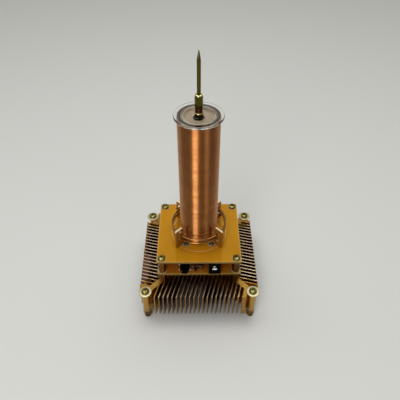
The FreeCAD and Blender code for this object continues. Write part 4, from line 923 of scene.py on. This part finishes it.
# The sanded underside's warm orange tint is painted light, standing for the coppery glow seen inside the
# tube.
sanded_acrylic = clear_plastic("sanded_acrylic", (0.98, 0.76, 0.55), 0.4, 0.3)
disc_low, disc_top = level("tube_top_disc", 0), level("tube_top_disc", 1)
disc_radius = reach_of("tube_top_disc")
tube_top = level("secondary_tube", 1)
spigot_radius = tube_radius - TUBE_WALL - 0.05
neck_low = tube_top - NECK_DEPTH
rebate = tube_top + REBATE_HEIGHT
disc_profile = rounded(
    ((STUD_HOLE_RADIUS, disc_low), (spigot_radius, disc_low), (spigot_radius, neck_low),
     (NECK_RADIUS, neck_low), (NECK_RADIUS, rebate), (tube_radius + 0.1, rebate),
     (tube_radius + 0.1, tube_top), (disc_radius, tube_top), (disc_radius, disc_top),
     (STUD_HOLE_RADIUS, disc_top)),
    (0.05, 0.3, 0.1, 0.1, 0.05, 0.05, 0.05, 0.6, 0.7, 0.05), steps=7)
top_disc = grid_piece("top_disc", turned_points(disc_profile, 160), hazy_acrylic, "clear_plastic",
                      "tube_top_disc", close_rows=True, sharp_angle=50)
top_disc.data.materials.append(sanded_acrylic)
face_middles = np.empty(3 * len(top_disc.data.polygons))
top_disc.data.polygons.foreach_get("center", face_middles)
sanded = face_middles.reshape(-1, 3)[:, 2] < (disc_low + 0.02) * MM
top_disc.data.polygons.foreach_set("material_index", sanded.astype(int))


def disc_ring(name, profile, ring_material):
    """Closed ring at the disc, from its profile; its material paints shade or a highlight."""
    grid_piece(name, turned_points(profile), ring_material, "clear_plastic", close_rows=True)


# Painted shade: a near-black brown ring standing for the dark look of the tube's wall through the disc.
painted_shade_ring = plastic("painted_shade_ring", (40, 20, 10), 0.4, 0.55, 0.05, shine=0.05)
shade_ring_inner, shade_ring_low, shade_ring_high = tube_radius - TUBE_WALL + 0.05, tube_top + 0.03, rebate - 0.01
disc_ring("disc_shade_ring", rounded(
    ((shade_ring_inner, shade_ring_low), (tube_radius, shade_ring_low), (tube_radius, shade_ring_high), (shade_ring_inner, shade_ring_high)),
    (0.06, 0.06, 0.06, 0.06)), painted_shade_ring)

# Painted highlight: a pale ring in the neck, standing for the bright crescent reflected inside the disc.
painted_highlight_ring = plastic("painted_highlight_ring", (244, 232, 208), 0.4, 0.55, 0.1)
highlight_ring_inner, highlight_ring_low, highlight_ring_high = NECK_RADIUS + 0.04, neck_low + 0.05, rebate - 0.05
disc_ring("disc_neck_highlight", rounded(
    ((highlight_ring_inner, highlight_ring_low), (NECK_RADIUS + 0.7, highlight_ring_low), (NECK_RADIUS + 0.2, highlight_ring_high),
     (highlight_ring_inner, highlight_ring_high)),
    (0.05, 0.2, 0.05, 0.05)), painted_highlight_ring)


# Electrode
# A threaded brass bush on the disc, a smooth collar over it and a pointed brass needle; under the disc
# a nut and a solder tag hold the stud.

THREAD_PITCH = 1.1
THREAD_DEPTH = 0.5
FOOT_HEIGHT = 1.7
STUD_RADIUS = 1.45
NEEDLE_SEAT = 4.9
CONE_LENGTH = 6.1

bush_top = level("electrode_bush", 1)
bush_radius = reach_of("electrode_bush")
foot_top = disc_top + FOOT_HEIGHT


def electrode_material():
    """Aged olive brass; its sloping faces, told by their normals, are painted bright as highlights."""
    material = metal("electrode_brass", (88, 82, 28), (66, 58, 16), 0.14, (2.0, 2.0, 0.5))
    tree, base, aged = base_of(material)
    # Painted highlight: sloping faces are lightened so that they glint.
    sloping = spread(tree, facing_up(tree), 0.15, 0.28)
    tree.links.new(blend(tree, sloping, aged, colour(236, 224, 164)), base)
    return material


electrode_brass = electrode_material()


def thread_points():
    """Threaded bush about the vertical axis: its radius is a triangle wave of the height less the
    share of a turn, eased off at both ends."""
    angle = np.linspace(0, 2 * np.pi, AROUND, endpoint=False)
    low, high = foot_top + 0.1, bush_top - 0.5
    height = np.linspace(low, high, 60)[:, None]
    phase = (height / THREAD_PITCH - angle / (2 * np.pi)) % 1
    wave = np.abs(phase - 0.5) * 2
    ease = np.clip(np.minimum(height - low, high - height) / 0.3, 0, 1)
    thread = about_axis(bush_radius - 0.3 - THREAD_DEPTH * wave * ease, angle, height)
    plain_radius = bush_radius - 0.35
    below = turned_points([(0.0, foot_top + 0.02), (plain_radius, foot_top + 0.02)])
    above = turned_points([(plain_radius, bush_top - 0.4), (plain_radius, bush_top), (0.0, bush_top)])
    return np.concatenate((below, thread, above))


thread_brass = metal("thread_brass", (96, 60, 34), (62, 34, 18), 0.24, (2.0, 2.0, 0.5))
grid_piece("electrode_thread", thread_points(), thread_brass, "dark_brass", "electrode_bush")


def electrode_part(name, corners, radii, *replaced, steps=9, around=AROUND):
    """Turned part of the electrode, from the corners of its profile and their radii."""
    shape = turned_points(rounded(corners, radii, steps), around)
    grid_piece(name, shape, electrode_brass, "dark_brass", *replaced)


stud_low = level("electrode_bush", 0)
electrode_part(
    "electrode_foot",
    ((0.0, stud_low), (STUD_RADIUS, stud_low), (STUD_RADIUS, disc_top), (bush_radius, disc_top),
     (bush_radius, foot_top), (bush_radius - 0.8, foot_top), (0.0, foot_top)),
    (0, 0.2, 0, 0.15, 0.75, 0, 0))

collar_top = level("electrode_collar", 1)
collar_radius = reach_of("electrode_collar")
needle_radius = reach_of("electrode_needle")
needle_low, needle_tip = collar_top - NEEDLE_SEAT, level("electrode_needle", 1)
seat_radius = needle_radius + 0.05
electrode_part(
    "electrode_sleeve",
    ((0.0, bush_top), (collar_radius, bush_top), (collar_radius, collar_top), (seat_radius, collar_top),
     (seat_radius, needle_low), (0.0, needle_low)),
    (0, 0.3, 1.2, 0.1, 0, 0), "electrode_collar")
electrode_part(
    "electrode_point",
    ((0.0, needle_low), (needle_radius, needle_low), (needle_radius, needle_tip - CONE_LENGTH),
     (0.28, needle_tip - 0.3), (0.0, needle_tip)),
    (0, 0.1, 0.25, 0.2, 0), "electrode_needle", steps=7, around=64)

olive_brass = metal("olive_brass", (164, 150, 78), (124, 112, 50), 0.24)
cover(nodes["electrode_nut"].data, olive_brass)
cover(nodes["electrode_tag"].data, pale_brass)


# Stage
# A plain pale floor and three soft lamps in a pale room. The camera stands where the photograph was
# taken, close in front of the coil, and looks down on it.

FLOOR_HALF = 4000.0
LAMP_TARGET = (0.0, 0.0, 0.08)

floor_paint = new_material(
    "floor_paint", Base_Color=colour(226, 227, 224), Roughness=0.6, Specular_IOR_Level=0.2)[0]
floor_points = np.array(corners_of(FLOOR_HALF)).reshape(2, 2, 3).swapaxes(0, 1)
floor = add_object("floor", grid_mesh("floor", floor_points, close_columns=False))
cover(floor.data, floor_paint)


def soft_lamp(name, azimuth, elevation, distance, width, height, power):
    """Area lamp that looks at the coil's middle from an azimuth, counted from the front towards the
    right, and an elevation, both in degrees."""
    turn, lift = math.radians(azimuth), math.radians(elevation)
    data = bpy.data.lights.new(name, "AREA")
    data.shape = "RECTANGLE"
    data.size, data.size_y, data.energy = width, height, power
    lamp = add_object(name, data)
    lamp.location = np.array(LAMP_TARGET) + distance * np.array(
        [math.sin(turn) * math.cos(lift), -math.cos(turn) * math.cos(lift), math.sin(lift)])
    lamp.rotation_euler = (math.radians(90 - elevation), 0.0, turn)


soft_lamp("overhead", azimuth=190, elevation=75, distance=0.8, width=0.8, height=0.32, power=2.15)
soft_lamp("front_left_strip", azimuth=-19, elevation=34, distance=0.9, width=0.37, height=1.1, power=3.35)
soft_lamp("right_strip", azimuth=40, elevation=30, distance=1.0, width=0.32, height=0.7, power=0.42)


def studio_world():
    """Soft room, by the direction looked in: bright overhead, pale behind the object, dim in front; the
    camera itself, also through clear parts, sees an even pale backdrop."""
    front, rear = (0.05, 0.03, 0.02, 1.0), (0.46, 0.47, 0.44, 1.0)
    ceiling, backdrop = (0.95, 0.95, 0.93, 1.0), (0.58, 0.59, 0.57, 1.0)
    world = bpy.data.worlds.new("studio")
    world.use_nodes = True
    tree = world.node_tree
    looked = add_node(tree, "TexCoord").outputs["Generated"]
    parts = add_node(tree, "SeparateXYZ", None, {0: looked}).outputs
    behind = spread(tree, parts["Y"], -0.15, 0.5, curve="SMOOTHSTEP")
    overhead = spread(tree, parts["Z"], 0.78, 0.94, curve="SMOOTHSTEP")
    room = blend(tree, overhead, blend(tree, behind, front, rear), ceiling)
    path = add_node(tree, "LightPath").outputs
    seen = maths(tree, "MAXIMUM", path["Is Camera Ray"], path["Is Transmission Ray"])
    shown = blend(tree, seen, room, backdrop)
    tree.links.new(shown, tree.nodes["Background"].inputs["Color"])
    return world


bpy.context.scene.world = studio_world()

camera_data = bpy.data.cameras.new("camera")
camera_data.lens = 39.21
camera_data.sensor_width = 36.0
camera = add_object("camera", camera_data)
camera.location = (-0.0010, -0.2410, 0.3062)
camera.rotation_euler = (math.radians(47.71), math.radians(-0.09), math.radians(-0.36))
bpy.context.scene.camera = camera
bpy.context.scene.view_settings.view_transform = "Standard"
